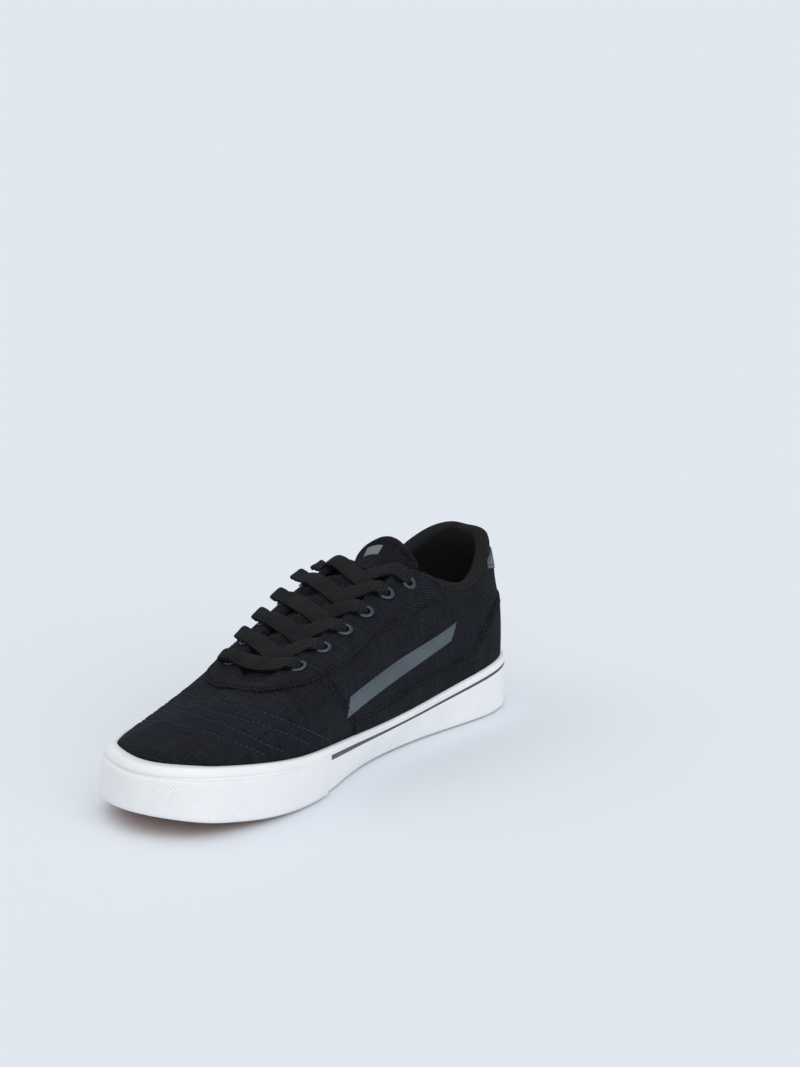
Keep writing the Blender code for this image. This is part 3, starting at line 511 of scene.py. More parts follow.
def makeWeaveGroup():
    # plain weave of round threads with slubs, for coordinates in millimetres
    group, tree, source, target = newGroup("clothWeave", {"Pitch": 0.6, "Slub": 0.5}, ("Height", "ThreadLightAndSlub"))
    wobble = tree.noise(source["Vector"], 0.22, 2.0)["Color"]
    bent = tree.add("ShaderNodeVectorMath", {"operation": "MULTIPLY_ADD"},
                    i0=wobble, i1=(0.9, 0.9, 0.0), i2=source["Vector"])
    turn = tree.math("DIVIDE", math.pi, source["Pitch"])
    sines = [tree.math("SINE", tree.times(part, turn)) for part in tree.split(bent.outputs[0])[:2]]
    top = tree.fit(tree.times(*sines), -0.35, 0.35)  # which thread lies on top
    roundA, roundB = (tree.math("ABSOLUTE", sine) for sine in sines)
    thread = tree.plus(tree.times(roundA, top), tree.times(roundB, tree.minus(1.0, top)))
    streaks = []
    for stretch in ((0.05, 1.4, 1.0), (1.4, 0.05, 1.0)):
        pulled = tree.add("ShaderNodeVectorMath", {"operation": "MULTIPLY"}, i0=source["Vector"], i1=stretch)
        streaks.append(tree.noise(pulled.outputs[0], 1.0, 1.0)[0])
    slub = tree.times(tree.minus(tree.times(tree.plus(*streaks), 0.5), 0.5), source["Slub"])
    tree.join(tree.plus(thread, slub), target["Height"])
    # colour share: thread crowns painted lighter and the gaps between them darker (painted highlight and
    # painted shade), plus the slubs' own uneven tone
    tree.join(tree.plus(tree.times(thread, 0.7), tree.times(slub, 2.2)), target["ThreadLightAndSlub"])
    return group


def makeSpacerGroup():
    # spacer mesh with staggered round holes
    group, tree, source, target = newGroup("spacerMesh", {"Pitch": 2.2}, ("Height", "Hole"))
    turn = tree.math("DIVIDE", math.pi, source["Pitch"])
    u, v = (tree.times(part, turn) for part in tree.split(source["Vector"])[:2])
    field = tree.times(tree.math("COSINE", tree.plus(u, v)), tree.math("COSINE", tree.minus(u, v)))
    hole = tree.fit(field, 0.30, 0.75)
    tree.join(tree.minus(1.0, hole), target["Height"])
    tree.join(hole, target["Hole"])
    return group


def makeGrainGroup():
    # fine and coarse unevenness of a moulded or coated face
    group, tree, source, target = newGroup("fineGrain", {"Fine": 2.0, "Coarse": 0.08}, ("Height", "Patch"))
    tree.join(tree.noise(source["Vector"], source["Fine"], 3.0)[0], target["Height"])
    coarse = tree.noise(source["Vector"], source["Coarse"], 4.0)[0]
    tree.join(tree.fit(coarse, 0.35, 0.65), target["Patch"])
    return group


def makeLintGroup():
    # a few pale fibres and specks that cling to dark cloth
    group, tree, source, target = newGroup("lintSpecks", {"Spacing": 9.0, "Size": 0.02}, ("Mask",))
    scale = tree.math("DIVIDE", 1.0, source["Spacing"])
    cells = tree.add("ShaderNodeTexVoronoi", {"feature": "F1"},
                     Vector=source["Vector"], Scale=scale, Randomness=1.0)
    near = tree.math("LESS_THAN", cells.outputs["Distance"], source["Size"])
    some = tree.math("GREATER_THAN", tree.split(cells.outputs["Color"])[0], 0.62)
    tree.join(tree.times(near, some), target["Mask"])
    return group


weaveGroup = makeWeaveGroup()
spacerGroup = makeSpacerGroup()
grainGroup = makeGrainGroup()
lintGroup = makeLintGroup()


def newFinish(name, roughness, specular, others=None):
    material = bpy.data.materials.new(name)
    material.use_nodes = True
    tree = NodeTree(material.node_tree)
    shader = material.node_tree.nodes["Principled BSDF"]
    fixed = {"Roughness": roughness, "Specular IOR Level": specular, **(others or {})}
    for title, value in fixed.items():
        shader.inputs[title].default_value = value
    surface = tree.add("ShaderNodeUVMap", {"uv_map": "surfaceMm"}).outputs[0]
    return material, tree, shader, surface


def bumpInto(tree, shader, height, depth):  # depth in millimetres for a height of one
    bump = tree.add("ShaderNodeBump", {}, Height=height, Strength=1.0, Distance=depth * 0.001)
    tree.join(bump.outputs[0], shader.inputs["Normal"])


# dark and light in these looks: painted shade between the threads and painted highlight on their crowns
canvasLook = {
    "dark": (0.0014, 0.0016, 0.0028), "light": (0.0390, 0.0430, 0.0570), "lint": (0.16, 0.17, 0.19),
    "pitch": 1.15, "depth": 0.26, "sheen": 0.02, "roughness": 0.95,
}
labelLook = {
    "dark": (0.16, 0.17, 0.18), "light": (0.30, 0.31, 0.33), "lint": (0.3, 0.3, 0.3),
    "pitch": 0.45, "depth": 0.08, "sheen": 0.05, "roughness": 0.9,
}


def makeCanvas(name, look):
    material, tree, shader, surface = newFinish(name, look["roughness"], 0.10, {
        "Sheen Weight": look["sheen"], "Sheen Roughness": 0.45, "Sheen Tint": (0.62, 0.68, 0.85, 1)})
    weave = tree.place(weaveGroup, Vector=surface, Pitch=look["pitch"], Slub=0.38)
    grain = tree.place(grainGroup, Vector=surface, Fine=0.6, Coarse=0.035)
    lint = tree.place(lintGroup, Vector=surface, Spacing=17.0, Size=0.016)
    # thread crowns lighter and gaps darker, following the weave's height: painted highlight and painted
    # shade; the grain patches are the cloth's own uneven tone
    share = tree.math("POWER", tree.fit(weave["ThreadLightAndSlub"], 0.15, 0.85), 2.2)
    share = tree.plus(share, tree.fit(grain["Patch"], 0.0, 1.0, 0.0, 0.06), True)
    cloth = tree.blend(share, look["dark"], look["light"])
    tree.join(tree.blend(lint["Mask"], cloth, look["lint"]), shader.inputs["Base Color"])
    bumpInto(tree, shader, weave["Height"], look["depth"])
    return material


# hole: painted shade inside the spacer mesh's holes, darker than the cloth
liningLook = {"cloth": (0.0170, 0.0175, 0.0190), "hole": (0.0015, 0.0015, 0.0018), "pitch": 2.3, "depth": 0.5}


def makeLining(name, look):
    material, tree, shader, surface = newFinish(name, 0.95, 0.08, {"Sheen Weight": 0.03})
    spacer = tree.place(spacerGroup, Vector=surface, Pitch=look["pitch"])
    weave = tree.place(weaveGroup, Vector=surface, Pitch=0.45, Slub=0.3)
    # holes painted near black: painted shade inside them
    tree.join(tree.blend(spacer["Hole"], look["cloth"], look["hole"]), shader.inputs["Base Color"])
    bumpInto(tree, shader, tree.plus(spacer["Height"], tree.times(weave["Height"], 0.2)), look["depth"])
    return material


# dark and light: the braid painted darker in its grooves and lighter on its yarns, painted shade and painted
# highlight
laceLook = {
    "dark": (0.0008, 0.0008, 0.0009), "light": (0.0320, 0.0335, 0.0355), "lint": (0.12, 0.12, 0.12),
    "braid": 1.45, "depth": 0.42,
}


def makeLaceFinish(name, look):
    # u runs along the lace and v across it, in millimetres: rows of slanted yarns between ribs
    material, tree, shader, surface = newFinish(name, 0.85, 0.10, {
        "Sheen Weight": 0.02, "Sheen Roughness": 0.4})
    u, v = tree.split(surface)[:2]
    turn = math.pi / look["braid"]
    slant = tree.plus(u, tree.times(tree.math("PINGPONG", v, look["braid"]), 0.9))
    yarn = tree.ridges(tree.times(slant, turn * 0.85))
    rib = tree.ridges(tree.times(v, turn))
    height = tree.plus(tree.times(yarn, 0.6), tree.times(rib, 0.75))
    lint = tree.place(lintGroup, Vector=surface, Spacing=22.0, Size=0.012)
    grain = tree.place(grainGroup, Vector=surface, Fine=1.5, Coarse=0.06)
    # colour follows the braid's height, yarns and ribs lighter and grooves darker (painted highlight and
    # painted shade); the grain patches are the lace's own uneven tone
    share = tree.plus(tree.fit(height, 0.25, 1.25, 0.0, 0.85), tree.fit(grain["Patch"], 0, 1, 0.0, 0.15))
    cloth = tree.blend(tree.math("POWER", share, 2.0), look["dark"], look["light"])
    tree.join(tree.blend(lint["Mask"], cloth, look["lint"]), shader.inputs["Base Color"])
    bumpInto(tree, shader, height, look["depth"])
    return material


threadLook = {"toe": (0.055, 0.057, 0.100), "seam": (0.0068, 0.0074, 0.0105), "film": (0.03, 0.035, 0.04)}


def makeThread(name, colour):
    material, tree, shader, surface = newFinish(name, 0.75, 0.12)
    u, v = tree.split(surface)[:2]
    twist = tree.plus(tree.times(u, 9.0), tree.times(v, 6.283))
    ply = tree.fit(tree.math("SINE", twist), -1.0, 1.0)
    # plies painted darker in the twist's grooves: painted shade
    dark = tuple(c * 0.45 for c in colour)
    tree.join(tree.blend(ply, dark, colour), shader.inputs["Base Color"])
    bumpInto(tree, shader, ply, 0.08)
    return material


rubberLook = {
    "white": (0.90, 0.905, 0.91), "grey": (0.80, 0.815, 0.835), "gum": (0.47, 0.205, 0.085),
    "gumDark": (0.33, 0.135, 0.055), "navy": (0.062, 0.070, 0.105), "navyDark": (0.045, 0.052, 0.080),
}


def makeRubber(name, light, dark, roughness, grainDepth, diamond=0.0):
    material, tree, shader, surface = newFinish(name, roughness, 0.45)
    grain = tree.place(grainGroup, Vector=surface, Fine=2.6, Coarse=0.05)
    share = tree.fit(grain["Patch"], 0.0, 1.0, 0.0, 0.55)
    height = tree.times(grain["Height"], grainDepth)
    if diamond:
        u, v = tree.split(surface)[:2]
        turn = math.pi / diamond
        a, b = tree.times(tree.plus(u, v), turn), tree.times(tree.minus(u, v), turn)
        plain = tree.fit(v, 0.6, 1.2)  # no studs along its lower edge
        studs = tree.times(tree.times(tree.ridges(a), tree.ridges(b)), plain)
        height = tree.plus(height, tree.times(studs, 0.20))
        # grooves between the diamond studs painted grey: painted shade; the halved patches are the rubber's
        # own uneven tone
        share = tree.plus(tree.times(share, 0.5), tree.fit(studs, 0.0, 0.5, 0.35, 0.0), True)
    tree.join(tree.blend(share, rubberLook[light], rubberLook[dark]), shader.inputs["Base Color"])
    uneven = tree.fit(grain["Patch"], 0.0, 1.0, roughness - 0.08, roughness + 0.08)
    tree.join(uneven, shader.inputs["Roughness"])
    bumpInto(tree, shader, height, 1.0)
    return material


filmLook = {"light": (0.085, 0.104, 0.126), "dark": (0.068, 0.083, 0.100)}


def makeFilm(name, look):
    material, tree, shader, surface = newFinish(name, 0.45, 0.22)
    grain = tree.place(grainGroup, Vector=surface, Fine=1.8, Coarse=0.06)
    weave = tree.place(weaveGroup, Vector=surface, Pitch=0.62, Slub=0.4)  # the cloth shows through
    tree.join(tree.blend(grain["Patch"], look["light"], look["dark"]), shader.inputs["Base Color"])
    tree.join(tree.fit(grain["Height"], 0.3, 0.7, 0.36, 0.5), shader.inputs["Roughness"])
    bumpInto(tree, shader, tree.plus(tree.times(weave["Height"], 0.5), grain["Height"]), 0.05)
    return material


enamelLook = {"colour": (0.050, 0.060, 0.080), "worn": (0.22, 0.24, 0.27)}


def makeEnamel(name, look):
    material, tree, shader, surface = newFinish(name, 0.30, 0.5, {"Metallic": 0.75})
    grain = tree.place(grainGroup, Vector=surface, Fine=3.0, Coarse=0.35)
    rubs = tree.fit(grain["Height"], 0.56, 0.70)  # small rubs through the coat
    tree.join(tree.blend(rubs, look["colour"], look["worn"]), shader.inputs["Base Color"])
    tree.join(tree.fit(grain["Patch"], 0.0, 1.0, 0.24, 0.40), shader.inputs["Roughness"])
    bumpInto(tree, shader, grain["Height"], 0.03)
    return material


canvas = makeCanvas("blackCanvas", canvasLook)
labelCloth = makeCanvas("labelCloth", labelLook)
lining = makeLining("meshLining", liningLook)
laceCloth = makeLaceFinish("laceBraid", laceLook)
toeThread, seamThread, filmThread = (makeThread(key + "Thread", colour) for key, colour in threadLook.items())
whiteRubber = makeRubber("whiteRubber", "white", "grey", 0.48, 0.05)
bumperRubber = makeRubber("bumperRubber", "white", "grey", 0.52, 0.03, 2.3)
gumRubber = makeRubber("gumRubber", "gum", "gumDark", 0.46, 0.06)
navyRubber = makeRubber("navyRubber", "navy", "navyDark", 0.5, 0.04)
greyFilm = makeFilm("greyFilm", filmLook)
slateEnamel = makeEnamel("slateEnamel", enamelLook)
print("finishes ready:", len(bpy.data.materials))


# Rubber sole

ringColumns = 480
ringRows = np.arange(ringColumns) * loopRows / ringColumns
ringTop = curveAt(wallTop, ringRows)


def ringAt(out, height):  # points round the shoe at an offset from the outsole's edge and a height
    return np.column_stack([outlineAt(ringRows, out), height])


def wallRing(share, extra=0.0):  # on the rubber's outer face, at a share of its height
    flat = outlineAt(ringRows, wallOut(ringRows, share) + extra)
    return np.column_stack([flat, mix(spring(flat[:, 0]), ringTop, share)])


cupShape = {"beadHeight": 4.2, "beadStep": 0.7, "outsoleDepth": 5.2, "belly": 0.35}
wallShares = (0.07, 0.14, 0.22, 0.30, 0.38, 0.46, 0.54, 0.62, 0.70, 0.76)  # heights of the wall's rings


def makeCup():
    bead = 1 - cupShape["beadHeight"] / ringTop
    atBead = wallOut(ringRows, bead)
    atTop = wallOut(ringRows, 1.0)
    gap, ledge, step = lastShape["gap"], lastShape["ledge"], cupShape["beadStep"]
    rings, levels = [], []
    footLine = (  # distance out from the outsole's edge, height over the floor, place on the surface
        (gap, cupShape["outsoleDepth"] + gap, -8.0), (gap, 0.9, -4.0), (gap + 0.3, 0.65, -3.0),
        (ledge - 1.3, 0.6, -1.5), (ledge - 0.6, 0.75, -0.7), (ledge - 0.15, 1.15, 0.0),
    )
    for out, height, level in footLine:
        flat = outlineAt(ringRows, out)
        rings.append(np.column_stack([flat, spring(flat[:, 0]) + height]))
        levels.append(level)
    for share in wallShares:
        rings.append(wallRing(np.minimum(share, bead - 0.03), cupShape["belly"] * math.sin(math.pi * share)))
        levels.append(share * 28)
    beadLine = (  # drop below the bead's lower edge, and how far it stands out
        (0.55, 0.02), (0.30, -0.12), (0.10, 0.0), (-0.05, 0.30), (-0.30, 0.58), (-0.8, step), (-1.8, step),
    )
    for drop, out in beadLine:
        rings.append(ringAt(atBead + out, ringTop - cupShape["beadHeight"] - drop))
        levels.append(24 - drop)
    for drop, out in ((1.3, 0.42), (0.75, 0.12), (0.35, -0.35), (0.1, -0.9), (0.0, -1.6)):
        rings.append(ringAt(atTop + out, ringTop - drop))
        levels.append(28 - drop)
    inside = upperOut(ringRows, 1.0) + gap
    rings += [ringAt(inside + 0.4, ringTop - 0.05), ringAt(inside, ringTop - 0.5)]
    low = cupFloor(curveAt(soleX, ringRows))
    rings.append(ringAt(upperOut(ringRows, low / ringTop) + 2 * gap, low))
    levels += [29.5, 30.5, 40.0]
    return dress(ringStack("soleCup", rings, levels, whiteRubber), "white_rubber", "sole_cup")


def rowAtStation(station):  # medial row where the sole has this share of its length
    rows = np.linspace(0, toeRow, 2601)
    return float(np.interp(station * lastShape["length"], curveAt(soleX, rows), rows))


bumperShape = {
    "end": 0.668, "low": 0.025, "high": 0.80, "height": 22.0, "depth": 1.5, "sunk": 0.25, "back": 0.6,
    "edgeRound": 1.5, "endRound": 2.2, "columns": 220,
}


def makeBumper():
    first = rowAtStation(bumperShape["end"])
    rows = np.linspace(first, loopRows - first, bumperShape["columns"])
    shares = np.array([0, 0.012, 0.03, 0.06, 0.15, 0.3, 0.5, 0.7, 0.85, 0.94, 0.97, 0.988, 1.0])
    run = runLength(outlineAt(rows, lastShape["ledge"]))
    ends = np.minimum(run, run[-1] - run)

    def grid(lift):
        points = np.empty((len(rows), len(shares), 3))
        for j, share in enumerate(mix(bumperShape["low"], bumperShape["high"], shares)):
            out = wallOut(rows, share) + cupShape["belly"] * math.sin(math.pi * share)
            flat = outlineAt(rows, out + lift[:, j])
            points[:, j] = np.column_stack([flat, mix(spring(flat[:, 0]), curveAt(wallTop, rows), share)])
        return points

    edgeGap = np.minimum(shares, 1 - shares) * bumperShape["height"]
    rise = roundEdge(edgeGap, bumperShape["edgeRound"]) * roundEdge(ends, bumperShape["endRound"])[:, None]
    outer = grid(bumperShape["depth"] * rise - bumperShape["sunk"] * (1 - rise))
    inner = grid(np.full(rise.shape, -bumperShape["back"]))
    uv = gridUv(run, shares * bumperShape["height"])
    return dress(slab("toeBumper", outer, inner, uv, bumperRubber), "white_rubber", "toe_bumper")


stripeShape = {
    "top": 4.3, "wide": 2.7, "narrow": 1.6, "taperRows": 3.0, "lift": 0.14, "edgeLift": 0.02, "back": 0.3,
    "endGap": 0.004, "columns": 420,
}


def makeStripe():
    # dark line pressed in under the bead, from the bumper's end round the heel
    first = rowAtStation(bumperShape["end"] - stripeShape["endGap"])
    rows = np.linspace(-first, first, stripeShape["columns"])
    top = curveAt(wallTop, rows)
    taper = smooth((np.abs(rows) - first) / stripeShape["taperRows"] + 1)
    width = mix(stripeShape["narrow"], stripeShape["wide"], taper)
    high = top - stripeShape["top"]
    shares = (0.0, 0.08, 0.5, 0.92, 1.0)

    def grid(lifts):
        points = np.empty((len(rows), len(shares), 3))
        for j, share in enumerate(shares):
            z = high - width * share
            level = z / top
            out = wallOut(rows, level) + cupShape["belly"] * np.sin(np.pi * np.minimum(level, wallShares[-1]))
            flat = outlineAt(rows, out + lifts[j])
            points[:, j] = np.column_stack([flat, z])
        return points

    lift, edgeLift = stripeShape["lift"], stripeShape["edgeLift"]
    outer = grid((edgeLift, lift, lift, lift, edgeLift))
    inner = grid((-stripeShape["back"],) * len(shares))
    run = runLength(outlineAt(rows, lastShape["ledge"]))
    uv = gridUv(run, np.array(shares) * 2)
    return dress(slab("sideStripe", outer, inner, uv, navyRubber), "navy_rubber")


treadShape = {
    "rim": 7.0, "groove": 1.7, "depth": 1.6, "plateGap": 1.2, "edgeRound": 0.35,
    "flexLines": ((0.612, 0.612), (0.692, 0.735), (0.772, 0.842), (0.852, 0.945)),  # medial, lateral
    "flexGap": 2.6, "forefootBack": 0.515, "heelFront": 0.392, "chevronWide": 30.0, "chevronRise": 8.0,
    "chevronPitch": 4.4, "rhombWide": 14.0, "rhombLong": 9.0, "waistPitch": 4.2,
    "columns": 460, "across": 116,
}


def plateBox():  # corners of the waist plate's solid
    return [np.array(corner) * 1000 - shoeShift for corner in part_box("waist_plate")]


def treadDepth(x, y, edge):  # how far the tread is cut up from the floor plane
    length, shape = lastShape["length"], treadShape
    side = np.clip((y + 48) / 96, 0, 1)  # lateral 0 to medial 1
    fold = np.abs(np.mod(y / shape["chevronWide"], 1) - 0.5) * 2
    phase = np.mod((x - shape["chevronRise"] * fold) / shape["chevronPitch"], 1)
    chevron = smooth((np.abs(phase - 0.5) * 2 - 0.42) / 0.3)
    flex = np.zeros_like(x)
    for medial, lateral in shape["flexLines"]:
        line = mix(lateral, medial, side) * length
        away = np.abs(x - line)
        bar = 1 - smooth((away - 0.6) / 0.5)  # raised bar in the middle of a flex groove
        flex = np.maximum(flex, (1 - smooth((away - shape["flexGap"] / 2) / 0.6)) * (1 - 0.8 * bar))
    forefoot = np.maximum(chevron * 0.9, flex)
    a = np.mod(x / shape["rhombLong"] + np.floor(np.mod(y / (shape["rhombWide"] / 2), 2)) * 0.5, 1) - 0.5
    b = np.mod(y / (shape["rhombWide"] / 2), 1) - 0.5
    heel = np.clip((np.abs(a) + np.abs(b)) * 1.1, 0, 1)
    waist = smooth((np.abs(np.mod(x / shape["waistPitch"], 1) - 0.5) * 2 - 0.45) / 0.25) * 0.6 + 0.2
    share = x / length
    pattern = np.where(share < shape["heelFront"], heel, waist)
    pattern = np.where(share > shape["forefootBack"], forefoot, pattern)
    for station in (shape["forefootBack"], shape["heelFront"]):
        pattern = np.maximum(pattern, 1 - smooth((np.abs(x - station * length) - 0.7) / 0.6))
    low, high = plateBox()
    beside = np.maximum.reduce([low[0] - x, x - high[0], low[1] - y, y - high[1]])
    pattern = np.where(beside < shape["plateGap"], 1.0, pattern)
    inside = edge - shape["rim"] - shape["groove"]
    channel = smooth((edge - shape["rim"]) / 0.5)
    ridge = bell(edge - shape["rim"] - 0.9, 0.35) * 0.75  # fine line round the rim
    pattern = np.maximum(pattern, 1 - smooth(inside / 0.5))
    return shape["depth"] * np.where(inside > 0, pattern, channel - ridge * channel)


def makeOutsole():
    rows = np.linspace(0, toeRow, 1301)
    heelToToe = 0.5 - 0.5 * np.cos(np.linspace(0.035, math.pi - 0.035, treadShape["columns"]))
    x = mix(0.02, lastShape["length"] - 0.02, heelToToe)
    # more even steps along the middle than the cosine gives
    x = 0.35 * x + 0.65 * np.linspace(x[0], x[-1], treadShape["columns"])
    medial = np.interp(x, curveAt(soleX, rows), curveAt(soleY, rows))
    lateral = np.interp(x, curveAt(soleX, loopRows - rows), curveAt(soleY, loopRows - rows))
    t = np.linspace(0, 1, treadShape["across"])
    gridX = np.repeat(x[:, None], len(t), 1)
    gridY = mix(lateral[:, None], medial[:, None], t[None])
    tree = nearTree([(*point, 0) for point in outlineAt(np.linspace(0, loopRows, 2400))])
    flat = np.column_stack([gridX.ravel(), gridY.ravel()])
    edge = np.array([tree.find((*point, 0))[2] for point in flat]).reshape(gridX.shape)
    under = spring(gridX) + treadDepth(gridX, gridY, edge)
    under += 0.5 * np.exp(-edge / treadShape["edgeRound"])
    top = spring(gridX) + cupShape["outsoleDepth"]
    lower = np.stack([gridX, gridY, under], -1)
    upper = np.stack([gridX, gridY, top], -1)
    uv = np.stack([gridX, gridY], -1)
    return dress(slab("gumOutsole", lower, upper, uv, gumRubber, sharp=40), "gum_rubber", "outsole")


def makeWaistPlate():
    # plain dark plate with rounded corners and a low rim
    low, high = plateBox()
    centre, half = (low + high) / 2, (high - low) / 2
    rounded = np.stack(squareRound(48, 0.28), -1)
    rings, levels = [], []
    top, floor = high[2], low[2]
    for inset, z in ((0.3, top), (0.0, top - 0.2), (0.0, floor + 0.2), (0.3, floor), (1.6, floor),
                     (2.1, floor + 0.3), (3.0, floor + 0.3)):
        flat = centre[:2] + rounded * (half[:2] - inset)
        rings.append(np.column_stack([flat, np.full(len(flat), z)]))
        levels.append(inset)
    return dress(ringStack("waistPlate", rings, levels, navyRubber), "navy_rubber", "waist_plate")


makeCup()
makeBumper()
makeStripe()
makeOutsole()
makeWaistPlate()
print("sole ready")


# Canvas upper and the panels sewn on it

# soft troughs (-) and ridges (+): row, rise, spread in rows, spread in rise, height
creases = (
    (11.6, 62.0, 0.9, 6.0, -0.6), (14.4, 60.0, 1.0, 6.0, -0.7), (9.5, 27.0, 0.6, 8.0, -0.5),
    (16.5, 24.0, 0.7, 8.0, -0.6), (7.8, 30.0, 0.7, 9.0, 0.45), (18.3, 30.0, 0.7, 9.0, 0.4),
    (5.6, 34.0, 0.45, 11.0, -0.8), (20.5, 34.0, 0.5, 11.0, -0.9), (4.5, 24.0, 0.6, 7.0, -0.5),
    (21.6, 25.0, 0.6, 7.0, -0.5), (3.0, 44.0, 0.5, 7.0, 0.45), (23.0, 44.0, 0.5, 7.0, 0.4),
    (1.2, 42.0, 0.8, 5.0, -0.5), (24.8, 40.0, 0.8, 5.0, -0.5),
)


def creaseLift(rows, rises):
    rows, rises = np.broadcast_arrays(np.mod(rows, loopRows), rises)
    lift = np.zeros(rows.shape)
    for row, rise, wide, tall, height in creases:
        lift += height * np.exp(-(((rows - row) / wide) ** 2) - ((rises - rise) / tall) ** 2)
    return lift


def lengthAt(rows):  # profile lengths for any shape of rows
    rows = np.asarray(rows, float)
    return profileLength(rows.ravel()).reshape(rows.shape)


def onFace(rows, rises, lift=0.0):  # the same as onUpper for any shape of rows, with creases
    rows, rises = np.broadcast_arrays(np.asarray(rows, float), np.asarray(rises, float))
    flatRows, flatRises = rows.ravel(), rises.reshape(-1, 1)
    normal = normalAt(flatRows, flatRises).reshape(rows.shape + (3,))
    lift = np.broadcast_to(lift, rows.shape) + creaseLift(rows, rises)
    return faceAt(flatRows, flatRises).reshape(rows.shape + (3,)) + normal * lift[..., None], normal


toeStitching = (  # row and rise of knots along each line of toe stitching, from the lateral side
    ((16.55, 3.0), (16.0, 9.5), (15.23, 19.2), (13.7, 29.3), (12.8, 32.0),
     (12.0, 26.2), (10.9, 16.2), (10.2, 8.2), (9.75, 3.0)),
    ((17.1, 3.0), (16.6, 10.5), (15.9, 21.9), (13.6, 42.4), (12.25, 39.9),
     (10.68, 22.9), (9.83, 9.5), (9.22, 2.8)),
    ((17.6, 3.0), (17.0, 12.5), (16.23, 25.7), (13.8, 50.1), (12.12, 47.7),
     (10.5, 31.6), (9.78, 19.9), (9.2, 11.9), (8.6, 4.0)),
    ((18.3, 2.5), (17.4, 15.0), (16.28, 34.2), (14.03, 60.1), (11.75, 57.0),
     (10.08, 35.0), (9.22, 19.0), (8.6, 10.7), (7.93, 2.5)),
)
toeLines = [smoothPath(knots, 160) for knots in toeStitching]
collarSeam = 2.6  # the lining's outer edge, below the collar's edge


def wallDepth(rows, belowEdge):
    collar = 1 - smooth((heelDistance(rows) - lastShape["padEnd"]) / lastShape["padBlend"])
    pad = lastShape["collarPad"] * collar * (1 - smooth(belowEdge / lastShape["collarPadHeight"]))
    return lastShape["wall"] + pad


# insets of the eyelets from the throat's edge, from the top eyelet down
eyeletShape = {"inset": {1: (10.6, 13.4, 14.0, 14.2, 14.8, 14.8), -1: (11.5, 12.5, 12.5, 12.5, 12.5, 12.5)},
               "top": 0.320, "front": 0.630, "count": 6, "hole": 3.05, "seat": 1.5}


def eyeletPlaces():  # rows at which the eyelets sit, by side
    rows = np.linspace(5.0, 12.0, 400)
    wanted = np.linspace(eyeletShape["top"], eyeletShape["front"], eyeletShape["count"]) * lastShape["length"]
    places = {}
    for side, insets in eyeletShape["inset"].items():
        own = sideRows(rows, side)
        length = profileLength(own)
        found = []
        for x, inset in zip(wanted, insets):
            found.append(np.interp(x, faceAt(own, (length - inset)[:, None])[:, 0, 0], rows))
        places[side] = sideRows(np.array(found), side)
    return places


eyeletRows = eyeletPlaces()


def eyeletFrames():
    frames = []
    for side in (1, -1):
        rises = lengthAt(eyeletRows[side]) - np.array(eyeletShape["inset"][side])
        points, normals = onFace(eyeletRows[side], rises)
        for point, normal in zip(points, normals):
            a = unit(np.cross(normal, (0, 0, 1.0)))
            frames.append((point, a, np.cross(normal, a), normal))
    return frames


def lathe(frames, section, sides):  # the same turned section at every frame
    section = np.asarray(section)
    points, faces, uv = [], [], []
    for point, a, b, n in frames:
        start = len(points) * sides * len(section)
        around = ringOf(a, b, sides)
        points.append(point + around[:, None] * section[None, :, :1] + n * section[None, :, 1:])
        faces += gridFaces(sides, len(section), True, True, start)
        uv.append(gridUv(circle(sides) * 4, runLength(section)))
    return np.array(points), faces, np.array(uv)


def makeHoleCutter(sides=24, reach=6):
    points, faces = [], []
    for k, (point, a, b, n) in enumerate(eyeletFrames()):
        ring = eyeletShape["hole"] * ringOf(a, b, sides)
        points += [point + ring - reach * n, point + ring + reach * n]
        faces += tubeFaces(2, sides, 2 * sides * k)
    cutter = addPiece("holeCutter", np.array(points), faces, canvas)
    cutter.hide_render = True
    return cutter


puckerShape = {"deep": 0.45, "width": 1.15, "swell": 0.16, "swellAt": 3.4, "swellWidth": 2.2}


def toeChannels(points):  # puckers along the toe stitching
    knots = np.concatenate(toeLines)
    tree = nearTree(onFace(knots[:, 0], knots[:, 1])[0])
    away = np.array([tree.find(point)[2] for point in points.reshape(-1, 3)]).reshape(points.shape[:-1])
    swell = puckerShape["swell"] * bell(away - puckerShape["swellAt"], puckerShape["swellWidth"])
    return swell - puckerShape["deep"] * bell(away, puckerShape["width"])


heelRows = np.linspace(0, 6, 120)
heelTurn = runLength(outlineAt(heelRows)) - curveAt(soleX, heelRows)


def clothUv(rows, rises, points, fromEdge=False):
    # threads run round the heel and along the sides;
    # on the vamp and the stay they are measured across from the throat's edge
    along = points[..., 0] + np.interp(heelDistance(rows), heelRows, heelTurn)
    side = np.where(np.mod(rows, loopRows) > toeRow, -1.0, 1.0)
    if not fromEdge:
        return np.stack([along, side * (55 - rises)], -1)
    normal = np.cross(np.gradient(points, axis=0), np.gradient(points, axis=1))
    lean = normal[..., 1] ** 2 / (normal[..., 0] ** 2 + normal[..., 1] ** 2 + 1e-9)
    drop = np.diff(points[..., 2], axis=1) * (lean[:, 1:] + lean[:, :-1]) / 2
    across = np.abs(np.diff(points[..., 1], axis=1))
    steps = np.hypot(across, drop) - across
    below = np.concatenate([np.cumsum(steps[:, ::-1], 1)[:, ::-1], np.zeros((len(steps), 1))], 1)
    return np.stack([along, points[..., 1] + side * below], -1)


upperShape = {
    "columns": 520, "outer": 84, "inner": 20, "crown": 9, "hidden": 3.0, "toeFrom": 7.0, "crownHigh": 2.9,
    "rollLift": 0.95, "rollEnd": 4.75, "rollBlend": 0.5, "linedEnd": 5.0,
}


